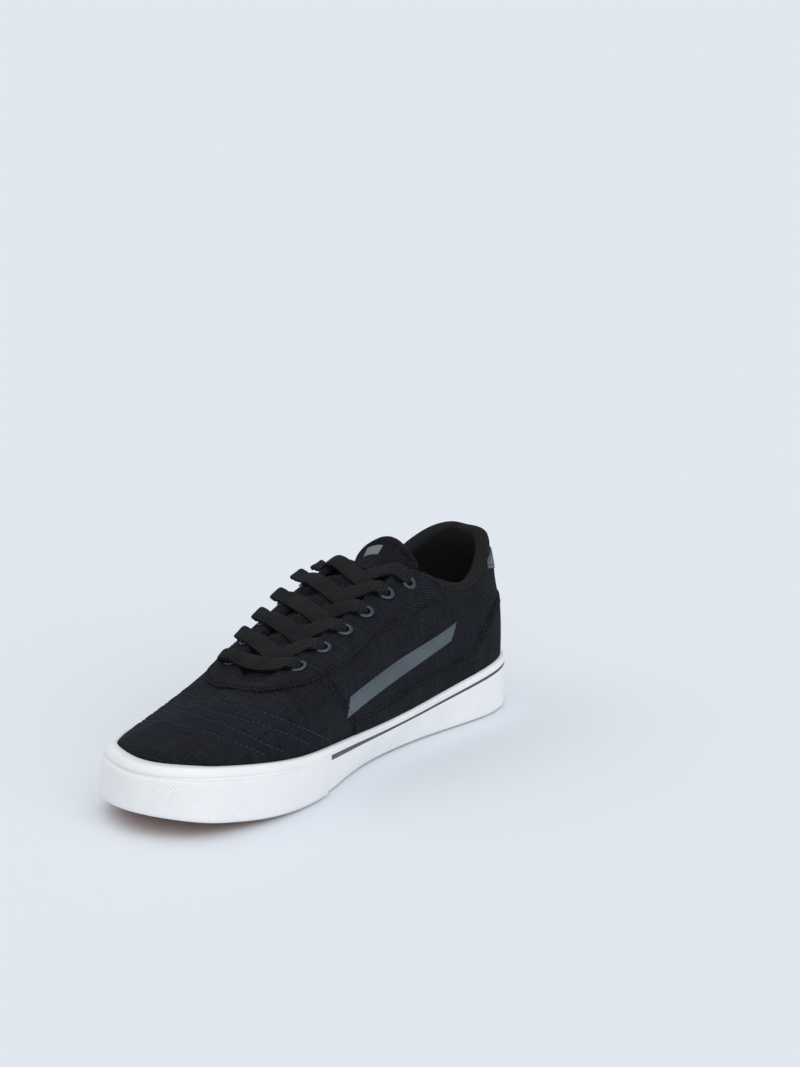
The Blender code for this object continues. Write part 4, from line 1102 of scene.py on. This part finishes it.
def makeUpper(cutter):
    shape = upperShape
    rows = np.arange(shape["columns"]) * loopRows / shape["columns"]
    length = profileLength(rows)
    top = curveAt(wallTop, rows)
    foot = cupFloor(curveAt(soleX, rows)) + lastShape["gap"] - top
    hidden = np.full((len(rows), 1), -shape["hidden"])
    shown = length[:, None] * np.linspace(0, 1, shape["outer"])[None]
    rises = np.concatenate([foot[:, None], hidden, shown], 1)
    face, normal = faceAt(rows, rises), normalAt(rows, rises)
    collar = 1 - smooth((heelDistance(rows) - shape["rollEnd"]) / shape["rollBlend"])[:, None]
    belowEdge = length[:, None] - rises
    roll = shape["rollLift"] * smooth((collarSeam + 0.5 - belowEdge) / 1.2) * collar
    lift = roll + creaseLift(rows[:, None], rises) * (rises > 0)
    ahead = heelDistance(rows) > shape["toeFrom"]
    lift[ahead] += toeChannels(face[ahead])
    lift[:, :2] = 0
    outer = face + normal * lift[..., None]
    down = np.linspace(0, 1, shape["inner"]) ** 1.3
    innerRises = np.concatenate([length[:, None] * (1 - down)[None], foot[:, None]], 1)
    depth = wallDepth(rows[:, None], length[:, None] - innerRises)
    inner = onUpper(rows, innerRises, -depth)
    outer[:, 0, 2] = inner[:, -1, 2] = foot + top
    # rounded top: a half roll from the outer edge over to the inner one
    a, b = outer[:, -1], inner[:, 0]
    upward = unit(outer[:, -1] - outer[:, -4])
    high = np.minimum(wallDepth(rows, 0.0) * 0.5, shape["crownHigh"])
    crown = []
    for k in range(1, shape["crown"]):
        turn = math.pi * k / shape["crown"]
        crown.append(mix(a, b, 0.5 - 0.5 * math.cos(turn)) + upward * (high * math.sin(turn))[:, None])
    columns = np.concatenate([outer, np.stack(crown, 1), inner], 1)
    deep = columns.shape[1]
    faces = gridFaces(len(rows), deep, True, True)
    # canvas outside, mesh lining over the collar's roll and inside
    cell = np.arange(len(rows) * deep)
    column, place = cell // deep, cell % deep
    lined = place >= rises.shape[1] - 1
    near = (belowEdge < collarSeam)[column, np.minimum(place, rises.shape[1] - 1)]
    lined |= near & (heelDistance(rows)[column] < shape["linedEnd"])
    run = runLength(face[:, shape["outer"] // 2 - 2])
    across = np.cumsum(np.linalg.norm(np.diff(columns, axis=1, prepend=columns[:, :1]), axis=2), 1)
    uv = np.stack([np.repeat(run[:, None], deep, 1), across], -1)
    uv[:, :rises.shape[1]] = clothUv(rows[:, None], rises, face, True)
    piece = addPiece("canvasUpper", columns, faces, [canvas, lining], lined.astype(int), uv, sharp=75)
    return dress(applyCut(piece, cutter), "black_canvas", "upper")


def edgeSteps(count, size, near=(0.0, 0.1, 0.28, 0.55, 0.95)):
    # shares of the way across a panel, closer together at both edges
    close = np.array(near) / size
    inside = np.linspace(close[-1], 1 - close[-1], count)[1:-1]
    return np.concatenate([close, inside, 1 - close[::-1]])


def edgeGaps(points):  # distance of each grid point from the panel's four edges
    along = np.linalg.norm(np.diff(points, axis=0), axis=2)
    across = np.linalg.norm(np.diff(points, axis=1), axis=2)
    start = np.concatenate([np.zeros((1, points.shape[1])), np.cumsum(along, 0)])
    low = np.concatenate([np.zeros((points.shape[0], 1)), np.cumsum(across, 1)], 1)
    return {"start": start, "end": start[-1:] - start, "low": low, "high": low[:, -1:] - low}


seamShape = {"inset": 2.3, "pull": 0.24, "width": 0.75, "swell": 0.10, "swellAt": 1.8, "swellWidth": 0.9}
allEdges = ("start", "end", "low", "high")


def panel(name, rows, rises, base, top, rounded, sewn, material, slotName, nodes=(), radius=0.85,
          seamInset=seamShape["inset"], fromEdge=False):
    # cloth panel laid on the upper: rows and rises are grids, rounded and sewn name its free edges
    face = onFace(rows, rises)[0]
    gaps = edgeGaps(face)
    share = np.ones(rows.shape)
    for edge in rounded:
        share *= roundEdge(gaps[edge], radius)
    lift = mix(base, top, share)
    for edge in sewn:  # pulled down along the thread, fuller on both sides of it
        away = gaps[edge] - seamInset
        swell = seamShape["swell"] * bell(np.abs(away) - seamShape["swellAt"], seamShape["swellWidth"])
        lift += swell - seamShape["pull"] * bell(away, seamShape["width"])
    outer, normals = onFace(rows, rises, lift)
    inner = onFace(rows, rises, base - 0.35)[0]
    piece = slab(name, outer, inner, clothUv(rows, rises, face, fromEdge), material, sharp=60)
    dress(piece, slotName, *nodes)
    return {"piece": piece, "points": outer, "normals": normals, "gaps": gaps}


def insetLine(made, edge, inset):  # line of points on a panel, a fixed distance in from one edge
    points, normals, gaps = made["points"], made["normals"], made["gaps"][edge]
    if edge in ("start", "end"):
        points, normals, gaps = points.transpose(1, 0, 2), normals.transpose(1, 0, 2), gaps.T
    line = []
    for p, n, g in zip(points, normals, gaps):
        order = np.argsort(g)
        line.append([np.interp(inset, g[order], v[order]) for v in (*p.T, *n.T)])
    return np.array(line)


stitchShape = {
    "pitch": 3.1, "length": 2.35, "sides": 6,
    "stops": np.array([0.0, 0.12, 0.32, 0.5, 0.68, 0.88, 1.0]),
    "bow": np.array([-0.45, 0.18, 0.42, 0.48, 0.42, 0.18, -0.45]),
    "swell": np.array([0.35, 0.85, 1.0, 1.0, 1.0, 0.85, 0.35]),
}


def stitchRuns(name, lines, material, slotName, radius, pitch=stitchShape["pitch"]):
    # every stitch is a short bowed thread: lines hold points and normals
    stops, bow, swell, sides = (stitchShape[key] for key in ("stops", "bow", "swell", "sides"))
    points, faces, uv = [], [], []
    for line in lines:
        even = evenPath(np.asarray(line, float), pitch)
        for here, after in zip(even, even[1:]):
            gap = np.linalg.norm(after[:3] - here[:3])
            if gap < 0.4 * pitch:
                continue
            along = (after[:3] - here[:3]) / gap
            up = unit(here[3:] - along * np.dot(here[3:], along))
            size = min(stitchShape["length"] / stitchShape["pitch"] * pitch, gap * 0.82)
            middle = here[:3] + np.outer(stops * size + 0.5 * (gap - size), along)
            middle += np.outer(bow * radius * 1.6, up)
            ring = ringOf(np.cross(along, up), up, sides)
            faces += tubeFaces(len(stops), sides, len(points) * len(stops) * sides)
            points.append(middle[:, None] + ring[None] * (swell * radius)[:, None, None])
            uv.append(gridUv(stops * size, circle(sides) / 6.283))
    piece = addPiece(name, np.array(points), faces, material, uv=np.array(uv), sharp=80)
    print("stitches:", name, len(points))
    return dress(piece, slotName)


seamKnots = {"rise": (0.0, 1.7, 13.1, 23.8, 37.8, 60.0), "row": (6.80, 6.86, 7.43, 7.90, 8.38, 8.95)}
stayTable = {"row": (5.0, 5.4, 5.85, 7.1, 8.2, 8.8, 9.4, 10.15, 11.2, 13.0),
             "depth": (10.0, 25.0, 37.0, 42.0, 38.5, 35.0, 29.0, 20.5, 15.0, 11.5)}
stayShape = {"end": 5.0, "edgeGap": 0.3, "highSeam": 2.6}
quarterShape = {
    "foot": 0.2, "heel": 0.02, "stayFrom": 4.75, "stayBlend": 0.35, "underStay": 6.0, "nextSeam": 4.6,
}
counterShape = {"row": 3.4, "side": 15.0, "back": 34.0, "sweep": 5.5, "foot": 0.1, "nextSeam": 4.5}
mudguardShape = {"front": 7.0, "backTop": 14.5, "frontTop": 7.0, "foot": 0.1, "under": 0.12, "seamInset": 2.0}
bandShape = {"rows": (4.2, 7.35), "low": (29.0, 10.5), "width": 11.0, "seamInset": 1.3}
tabShape = {"row": 2.7, "low": (24.0, 8.0), "high": (9.0, 3.0), "seamInset": 1.8}  # low, high: back, ends


def stayDepth(rows):
    fine = smoothPath(np.array([stayTable["row"], stayTable["depth"]]).T, 200)
    return np.interp(heelDistance(rows), fine[:, 0], fine[:, 1])


def rowGrid(first, last, s, t):  # rows of a panel that runs between two rows
    return np.repeat(mix(first, last, s)[:, None], len(t), 1)


def makeQuarter(word, side):
    # side panel from the back of the heel to the seam with the vamp
    shape = quarterShape
    s = 1 - edgeSteps(110, 175)[::-1]
    t = edgeSteps(36, 60)
    rows = np.empty((len(s), len(t)))
    rises = np.empty_like(rows)
    for k in range(2):  # the seam's row depends on the rise, so the grid is settled in two passes
        for i, share in enumerate(s):
            guess = rises[i] if k else t * 45
            rows[i] = mix(shape["heel"], np.interp(guess, seamKnots["rise"], seamKnots["row"]), share)
        under = np.maximum(stayDepth(rows) - shape["underStay"], 0)
        under *= np.clip((rows - shape["stayFrom"]) / shape["stayBlend"], 0, 1)
        rises = mix(shape["foot"], lengthAt(rows) - np.maximum(collarSeam, under), t[None])
    made = panel("quarter" + word, sideRows(rows, side), rises, 0.0, 0.55, ("end", "high"), ("end",),
                 canvas, "black_canvas")
    return [insetLine(made, "end", inset) for inset in (seamShape["inset"], shape["nextSeam"])]


def makeStay(cutter):
    s, t = edgeSteps(250, 430), edgeSteps(26, 36)
    rows = rowGrid(stayShape["end"], loopRows - stayShape["end"], s, t)
    length = lengthAt(rows[:, 0])[:, None]
    rises = mix(length - stayDepth(rows[:, :1]), length - stayShape["edgeGap"], t[None])
    made = panel("laceStay", rows, rises, 0.5, 1.4, allEdges, ("low", "high"), canvas,
                 "black_canvas", ("lace_stay",), fromEdge=True)
    applyCut(made["piece"], cutter)
    return [insetLine(made, "low", seamShape["inset"]), insetLine(made, "high", stayShape["highSeam"])]


def makeCounter():
    s, t = edgeSteps(110, 150), edgeSteps(22, 28)
    rows = rowGrid(-counterShape["row"], counterShape["row"], s, t)
    share = (np.abs(rows) / counterShape["row"]) ** counterShape["sweep"]
    rises = mix(counterShape["foot"], mix(counterShape["back"], counterShape["side"], share), t[None])
    free = ("high", "start", "end")
    made = panel("heelCounter", np.mod(rows, loopRows), rises, 0.45, 1.4, free, free,
                 canvas, "black_canvas", ("heel_counter",))
    lines = [insetLine(made, edge, seamShape["inset"]) for edge in free]
    return lines + [insetLine(made, "high", counterShape["nextSeam"])]


def makeMudguard(word, side):
    s, t = edgeSteps(80, 115), edgeSteps(14, 12)
    back, front, inset = counterShape["row"], mudguardShape["front"], mudguardShape["seamInset"]
    rows = rowGrid(back - mudguardShape["under"], front, s, t)
    share = np.clip((rows - back) / (front - back), 0, 1)
    high = mix(mudguardShape["backTop"], mudguardShape["frontTop"], smooth(share) * share)
    rises = mix(mudguardShape["foot"], high, t[None])
    made = panel("mudguard" + word, sideRows(rows, side), rises, 0.4, 1.25, ("end", "high"), ("high",),
                 canvas, "black_canvas", ("mudguard_" + word.lower(),), seamInset=inset)
    return [insetLine(made, "high", inset)]


def makeBand(word, side):
    # plain film band with a fine pressed line along both edges
    s, t = edgeSteps(70, 105), edgeSteps(16, 11)
    first, last = bandShape["rows"]
    rows = rowGrid(first, last, s, t)
    rises = mix(*bandShape["low"], (rows - first) / (last - first)) + bandShape["width"] * t[None]
    panel("sideBand" + word, sideRows(rows, side), rises, 0.5, 0.95, allEdges, ("low", "high"), greyFilm,
          "grey_film", ("side_band_" + word.lower(),), radius=0.5, seamInset=bandShape["seamInset"])


def makeTab():
    s, t = edgeSteps(70, 70), edgeSteps(16, 14)
    rows = rowGrid(-tabShape["row"], tabShape["row"], s, t)
    share = (np.abs(rows) / tabShape["row"]) ** 2
    below = mix(mix(*tabShape["low"], share), mix(*tabShape["high"], share), t[None])
    rows = np.mod(rows, loopRows)
    inset = tabShape["seamInset"]
    made = panel("heelTab", rows, lengthAt(rows) - below, 0.5, 1.1, allEdges, ("low", "high"), greyFilm,
                 "grey_film", ("heel_tab",), radius=0.6, seamInset=inset)
    return [insetLine(made, edge, inset) for edge in ("low", "high")]


cutter = makeHoleCutter()
makeUpper(cutter)
print("upper ready")
seamLines = makeStay(cutter) + makeCounter()
for word, side in (("Medial", 1), ("Lateral", -1)):
    seamLines += makeQuarter(word, side) + makeMudguard(word, side)
    makeBand(word, side)
tabLines = makeTab()
bpy.data.objects.remove(cutter)
print("panels ready")

toeRuns = []
for line in toeLines:
    points, normals = onFace(line[:, 0], line[:, 1], -0.28)
    toeRuns.append(np.column_stack([points, normals]))
stitchRuns("toeStitching", toeRuns, toeThread, "black_canvas", 0.32)
stitchRuns("seamStitching", seamLines, seamThread, "black_canvas", 0.26)
stitchRuns("tabStitching", tabLines, filmThread, "grey_film", 0.22, 2.4)


# Footbed, eyelets, lace and tongue


footbedLine = (  # lift over the cup's floor, inset from the wall, height
    (0.0, 1.0, 0.3), (2.0, 0.95, 2.0), (3.6, 1.05, 3.6), (4.0, 1.4, 4.1), (4.0, 2.2, 4.15), (4.0, 4.0, 3.7),
    (4.0, 7.0, 3.2), (4.0, 12.0, 3.0),
)


def makeInsole():
    rings, levels = [], []
    level = cupFloor(curveAt(soleX, ringRows))
    for lift, inset, z in footbedLine:
        wall = upperOut(ringRows, (level + lift) / ringTop) - lastShape["wall"]
        rings.append(ringAt(wall - inset, level + z))
        levels.append(inset)
    return dress(ringStack("footbed", rings, levels, lining), "black_lining", "insole")


eyeletSection = (  # radius and height: a barrel through the cloth and a rolled flange on the stay
    (2.35, -3.3), (2.85, -3.3), (2.9, 0.0), (3.7, -0.02), (4.45, 0.0), (4.7, 0.22), (4.66, 0.48),
    (4.4, 0.74), (3.95, 0.92), (3.45, 0.96), (2.95, 0.84), (2.6, 0.5), (2.42, 0.05), (2.36, -0.8),
)


def makeEyelets():
    frames = [(point + n * eyeletShape["seat"], a, b, n) for point, a, b, n in eyeletFrames()]
    points, faces, uv = lathe(frames, eyeletSection, 32)
    numbers = range(1, eyeletShape["count"] + 1)
    nodes = [f"eyelet_{word}_{k}" for word in ("medial", "lateral") for k in numbers]
    return dress(addPiece("eyelets", points, faces, slateEnamel, uv=uv, sharp=60), "dark_enamel", *nodes)


laceShape = {
    "width": 9.9, "depth": 2.15, "boreWidth": 4.3, "boreDepth": 2.5,
    "gap": 0.8, "section": 20, "square": 0.72,
    "under": -1.1, "over": 1.0, "bar": 1.5, "atEdge": 2.9, "tilt": {1: 0.28, -1: 0.60},
}


def smoothRun(knots, gap):
    # even curve through uneven knots; every knot is a place with further values beside it
    knots = np.asarray(knots, float)
    t = np.concatenate([[0], np.cumsum(np.sqrt(np.linalg.norm(np.diff(knots[:, :3], axis=0), axis=1)))])
    step = np.diff(t)[:, None]
    slope = np.diff(knots, axis=0) / step
    between = (slope[:-1] * step[1:] + slope[1:] * step[:-1]) / (step[1:] + step[:-1])
    turn = np.concatenate([slope[:1], between, slope[-1:]])
    where = np.linspace(0, t[-1], 60 * len(knots))
    k = np.clip(np.searchsorted(t, where) - 1, 0, len(step) - 1)
    h = step[k]
    u = ((where - t[k])[:, None]) / h
    fine = ((2 * u**3 - 3 * u**2 + 1) * knots[k] + (u**3 - 2 * u**2 + u) * h * turn[k]
            + (3 * u**2 - 2 * u**3) * knots[k + 1] + (u**3 - u**2) * h * turn[k + 1])
    run = runLength(fine[:, :3])
    stops = np.linspace(0, run[-1], int(run[-1] / gap))
    return np.stack([np.interp(stops, run, fine[:, axis]) for axis in range(fine.shape[1])], -1)


def edgeCrossing(side, a, b):  # where the straight line from a to b passes over the throat's edge
    rows = sideRows(np.linspace(5.0, 12.9, 240), side)
    edge = onFace(rows, lengthAt(rows))[0]
    away = (edge - a)[:, 0] * (b - a)[1] - (edge - a)[:, 1] * (b - a)[0]
    k = int(np.argmax(np.sign(away[1:]) != np.sign(away[:-1])))
    return mix(edge[k], edge[k + 1], away[k] / (away[k] - away[k + 1]))


def laceKnots():
    # each knot: place, direction across the lace, width and depth
    full = (laceShape["width"], laceShape["depth"])
    tight = (laceShape["boreWidth"], laceShape["boreDepth"])
    wall, last = lastShape["wall"], eyeletShape["count"] - 1
    frames = eyeletFrames()
    places = {1: frames[:last + 1], -1: frames[last + 1:]}
    upward = np.array([0, 0, 1.0])
    # steps past the eyelet and lifts off the cloth: the medial ends slope straight in,
    # the lateral ends are loose folds that reach past the eyelet and turn back
    through = [(0.0, 0.4, tight), (0.1, -1.6, tight), (-1.2, -wall - 1.7, (5.5, 2.1))]
    ends = {1: [(-4.4, 3.7, full), (-2.3, 3.4, (8.4, 2.2))] + through,
            -1: [(-1.0, 4.7, full), (2.8, 5.2, full), (5.4, 5.0, (9.0, 2.2)), (7.0, 3.6, (8.2, 2.3)),
                 (5.4, 2.3, (7.6, 2.1)), (2.4, 2.7, (6.2, 2.1))] + through}

    def throatWay(side, k):  # along the row of eyelets, towards the toe
        return unit(places[side][min(k + 1, last)][0] - places[side][max(k - 1, 0)][0])

    def knot(point, way, size, tilt=0.0):
        return np.concatenate([point, unit(way - upward * tilt), size])

    def intoEyelet(side, k, start, tilt=laceShape["tilt"][1]):
        point, _, _, normal = places[side][k]
        ahead = point - start
        if side > 0:
            ahead = ahead - normal * (ahead @ normal)
        ahead = unit(ahead)
        way = throatWay(side, k)
        edge = edgeCrossing(side, start, point) + upward * laceShape["atEdge"]
        return [knot(edge, way, full, tilt * 0.6)] + [
            knot(point + ahead * step + normal * lift, way, size) for step, lift, size in ends[side]]

    def crossing(side, k):  # from under one stay over the tongue to the eyelet above on the other side
        rise, tilt = laceShape["over"] if side > 0 else laceShape["under"], laceShape["tilt"][side]
        (a, _, _, normal), b = places[side][k], places[-side][k - 1][0]
        near, far = edgeCrossing(side, a, b), edgeCrossing(-side, a, b)
        inward = unit(far - near)
        way = (throatWay(side, k) + throatWay(-side, k - 1)) / 2
        return [knot(mix(a, near, 0.55) - normal * (wall + 1.4), throatWay(side, k), full),
                knot(near + inward * 1.6 - upward * (wall + 1.2), way, full, tilt),
                knot((near + far) / 2 + upward * rise, way, full, tilt)] + intoEyelet(-side, k - 1, a, tilt)

    halves = []
    for side in (1, -1):
        half = intoEyelet(side, last, places[-side][last][0])
        for k in range(last, 0, -1):
            half += crossing(side, k)
            side = -side
        halves.append(half)
    pair = places[1][last][0], places[-1][last][0]
    middle = (edgeCrossing(1, *pair) + edgeCrossing(-1, *pair)) / 2
    bar = knot(middle + upward * laceShape["bar"], (throatWay(1, last) + throatWay(-1, last)) / 2, full,
               laceShape["tilt"][1])
    return halves[1][::-1] + [bar] + halves[0]


def makeLace():
    path = smoothRun(laceKnots(), laceShape["gap"])
    points, way, wide, deep = path[:, :3], path[:, 3:6], path[:, 6], path[:, 7]
    along = unit(np.gradient(points, axis=0))
    across = unit(way - along * np.sum(way * along, 1, keepdims=True))
    up = np.cross(along, across)
    u, v = (half / 2 for half in squareRound(laceShape["section"], laceShape["square"]))
    grid = points[:, None] + across[:, None] * (u[None] * wide[:, None])[..., None]
    grid += up[:, None] * (v[None] * deep[:, None])[..., None]
    run = runLength(points)
    uv = gridUv(run, u * laceShape["width"] + 4)
    piece = addPiece("laceCord", grid, tubeFaces(*grid.shape[:2]), laceCloth, uv=uv, sharp=80)
    dress(piece, "black_cord", "lace")
    print("lace length in millimetres:", round(float(run[-1])))
    return points, wide


tongueShape = {
    "clear": 1.2, "depth": 4.5, "along": 110, "across": 41, "puff": 0.7, "edge": 0.45, "fill": 0.6,
    "sideRound": 5.0, "endRound": 2.6, "endDepth": 0.35, "channel": 4.6, "binding": 2.2,
    "pressReach": 7.0, "pressSeat": 1.15, "pressLimit": 3.0,
}
tongueFront = (  # rows from the toe and inset from the throat's edge, from a side to the middle
    ((2.3, 15.0), (1.43, 15.0), (0.64, 15.0), (0.0, 15.0)),
    ((2.65, 15.0), (2.0, 9.0), (1.15, 4.5), (0.0, 2.5)),
)
tongueMiddle = (  # row, crown, reach under the medial and the lateral stay
    (10.0, 1.5, 15.0, 14.0), (9.0, 3.0, 16.0, 14.0), (8.0, 3.5, 16.0, 13.0), (7.2, 3.0, 11.0, 9.0),
)
tongueTop = (  # station, middle, crown, half width, droop of the sides
    (0.345, -2.0, 88.0, 15.5, 7.5), (0.318, -1.5, 91.0, 16.5, 8.0), (0.297, -0.5, 94.5, 18.0, 9.0),
    (0.279, 0.0, 99.2, 20.0, 10.5), (0.270, 0.5, 102.8, 20.5, 11.5), (0.266, 0.5, 104.8, 19.0, 11.5),
)


def tongueSections():
    lift = -lastShape["wall"] - tongueShape["clear"]
    sections = []
    for places in tongueFront:
        line = [(toeRow - spread, inset) for spread, inset in places]
        line += [(toeRow + spread, inset) for spread, inset in places[-2::-1]]
        rows = np.array([row for row, inset in line])
        rises = lengthAt(rows) - np.array([inset for row, inset in line])
        sections.append(onUpper(rows, rises[:, None], np.full((len(rows), 1), lift))[:, 0])
    for row, crown, *reaches in tongueMiddle:
        sides = []
        for own, reach in zip((row, loopRows - row), reaches):
            rows = np.full(3, own)
            rises = lengthAt(rows) - np.array([reach, reach / 2, 0.0])
            sides.append(onUpper(rows, rises[:, None], np.full((3, 1), lift))[:, 0])
        middle = (sides[0][-1] + sides[1][-1]) / 2 + np.array([0, 0, crown])
        sections.append(np.concatenate([sides[0], middle[None], sides[1][::-1]]))
    shares = np.array([1.0, 0.7, 0.35, 0.0, -0.35, -0.7, -1.0])
    for station, middle, crown, wide, droop in tongueTop:
        x = np.full(len(shares), station * lastShape["length"])
        sections.append(np.stack([x, middle + wide * shares, crown - droop * shares**2], -1))
    return np.array(sections)


def makeTongue(lacePoints, laceWidths):
    shape, sections = tongueShape, tongueSections()
    fine = np.stack([smoothPath(line, shape["along"]) for line in sections.transpose(1, 0, 2)], 1)
    outer = np.stack([smoothPath(row, shape["across"]) for row in fine], 0)
    normal = unit(np.cross(np.gradient(outer, axis=1), np.gradient(outer, axis=0)))
    normal *= np.sign(normal[shape["along"] // 2, shape["across"] // 2, 2])
    gaps = edgeGaps(outer)
    toEnd, toSide = gaps["end"], np.minimum(gaps["low"], gaps["high"])
    full, end = roundEdge(toSide, shape["sideRound"]), roundEdge(toEnd, shape["endRound"])
    depth = shape["depth"] * mix(shape["edge"], 1.0, full) * mix(shape["endDepth"], 1.0, end)
    # bound edge round the free end, with a stitched channel below it
    bound = np.minimum(toEnd, toSide + 40 * (toEnd > 40))
    lift = shape["puff"] * full * smooth(toEnd / 6) - 0.35 * bell(bound - shape["channel"], 0.8)
    lift += 0.5 * bell(bound - shape["binding"], 1.5) - 1.1 * (1 - end) - 0.8 * (1 - full)
    # the lace presses it in
    tree = nearTree(lacePoints)
    press = np.zeros(lift.shape)
    surface = outer + normal * lift[..., None]
    for i, j in np.ndindex(lift.shape):
        for _, k, away in tree.find_range(surface[i, j], shape["pressReach"]):
            high = float(np.dot(surface[i, j] - lacePoints[k], normal[i, j]))
            if high > -4.0:
                beside = math.sqrt(max(away * away - high * high, 0.0)) - 0.5 * laceWidths[k]
                need = (high + shape["pressSeat"]) * float(1 - smooth((beside + 0.6) / 2.4))
                press[i, j] = max(press[i, j], need)
    lift -= np.minimum(press, shape["pressLimit"])
    top = outer + normal * lift[..., None]
    under = outer - normal * depth[..., None]
    uv = np.stack([gaps["start"], gaps["low"]], -1)
    piece = dress(slab("tonguePad", top, under, uv, canvas, sharp=70), "black_canvas", "tongue")
    line = insetLine({"points": top, "normals": normal, "gaps": gaps}, "end", shape["channel"])[3:-3]
    stitchRuns("tongueStitching", [line], seamThread, "black_canvas", 0.24, 2.6)
    return top, normal, gaps


labelShape = {"fromTop": (12.5, 6.0), "across": (0.52, 0.76), "lift": 0.5, "back": 0.2, "edgeRound": 0.5}


def makeLabel(top, normal, gaps):
    # small plain woven label under the tongue's free end
    away = np.linspace(*labelShape["fromTop"], 14)
    columns = np.linspace(*labelShape["across"], 24) * (top.shape[1] - 1)
    both = np.concatenate([top, normal, gaps["end"][..., None]], -1)
    rows = []
    for column in columns:
        j = int(column)
        line = mix(both[:, j], both[:, j + 1], column - j)
        line = line[np.argsort(line[:, -1])]
        rows.append([np.interp(away, line[:, -1], values) for values in line[:, :-1].T])
    grid, ups = np.split(np.array(rows).transpose(0, 2, 1), 2, -1)
    edge = edgeGaps(grid)
    near = np.minimum.reduce(list(edge.values()))
    lift = labelShape["lift"] * roundEdge(near, labelShape["edgeRound"])
    uv = np.stack([edge["start"], edge["low"]], -1)
    outer, inner = grid + ups * lift[..., None], grid - ups * labelShape["back"]
    return dress(slab("tongueLabel", outer, inner, uv, labelCloth, sharp=60), "grey_film")


makeInsole()
makeEyelets()
makeLabel(*makeTongue(*makeLace()))
print("eyelets, lace and tongue ready")
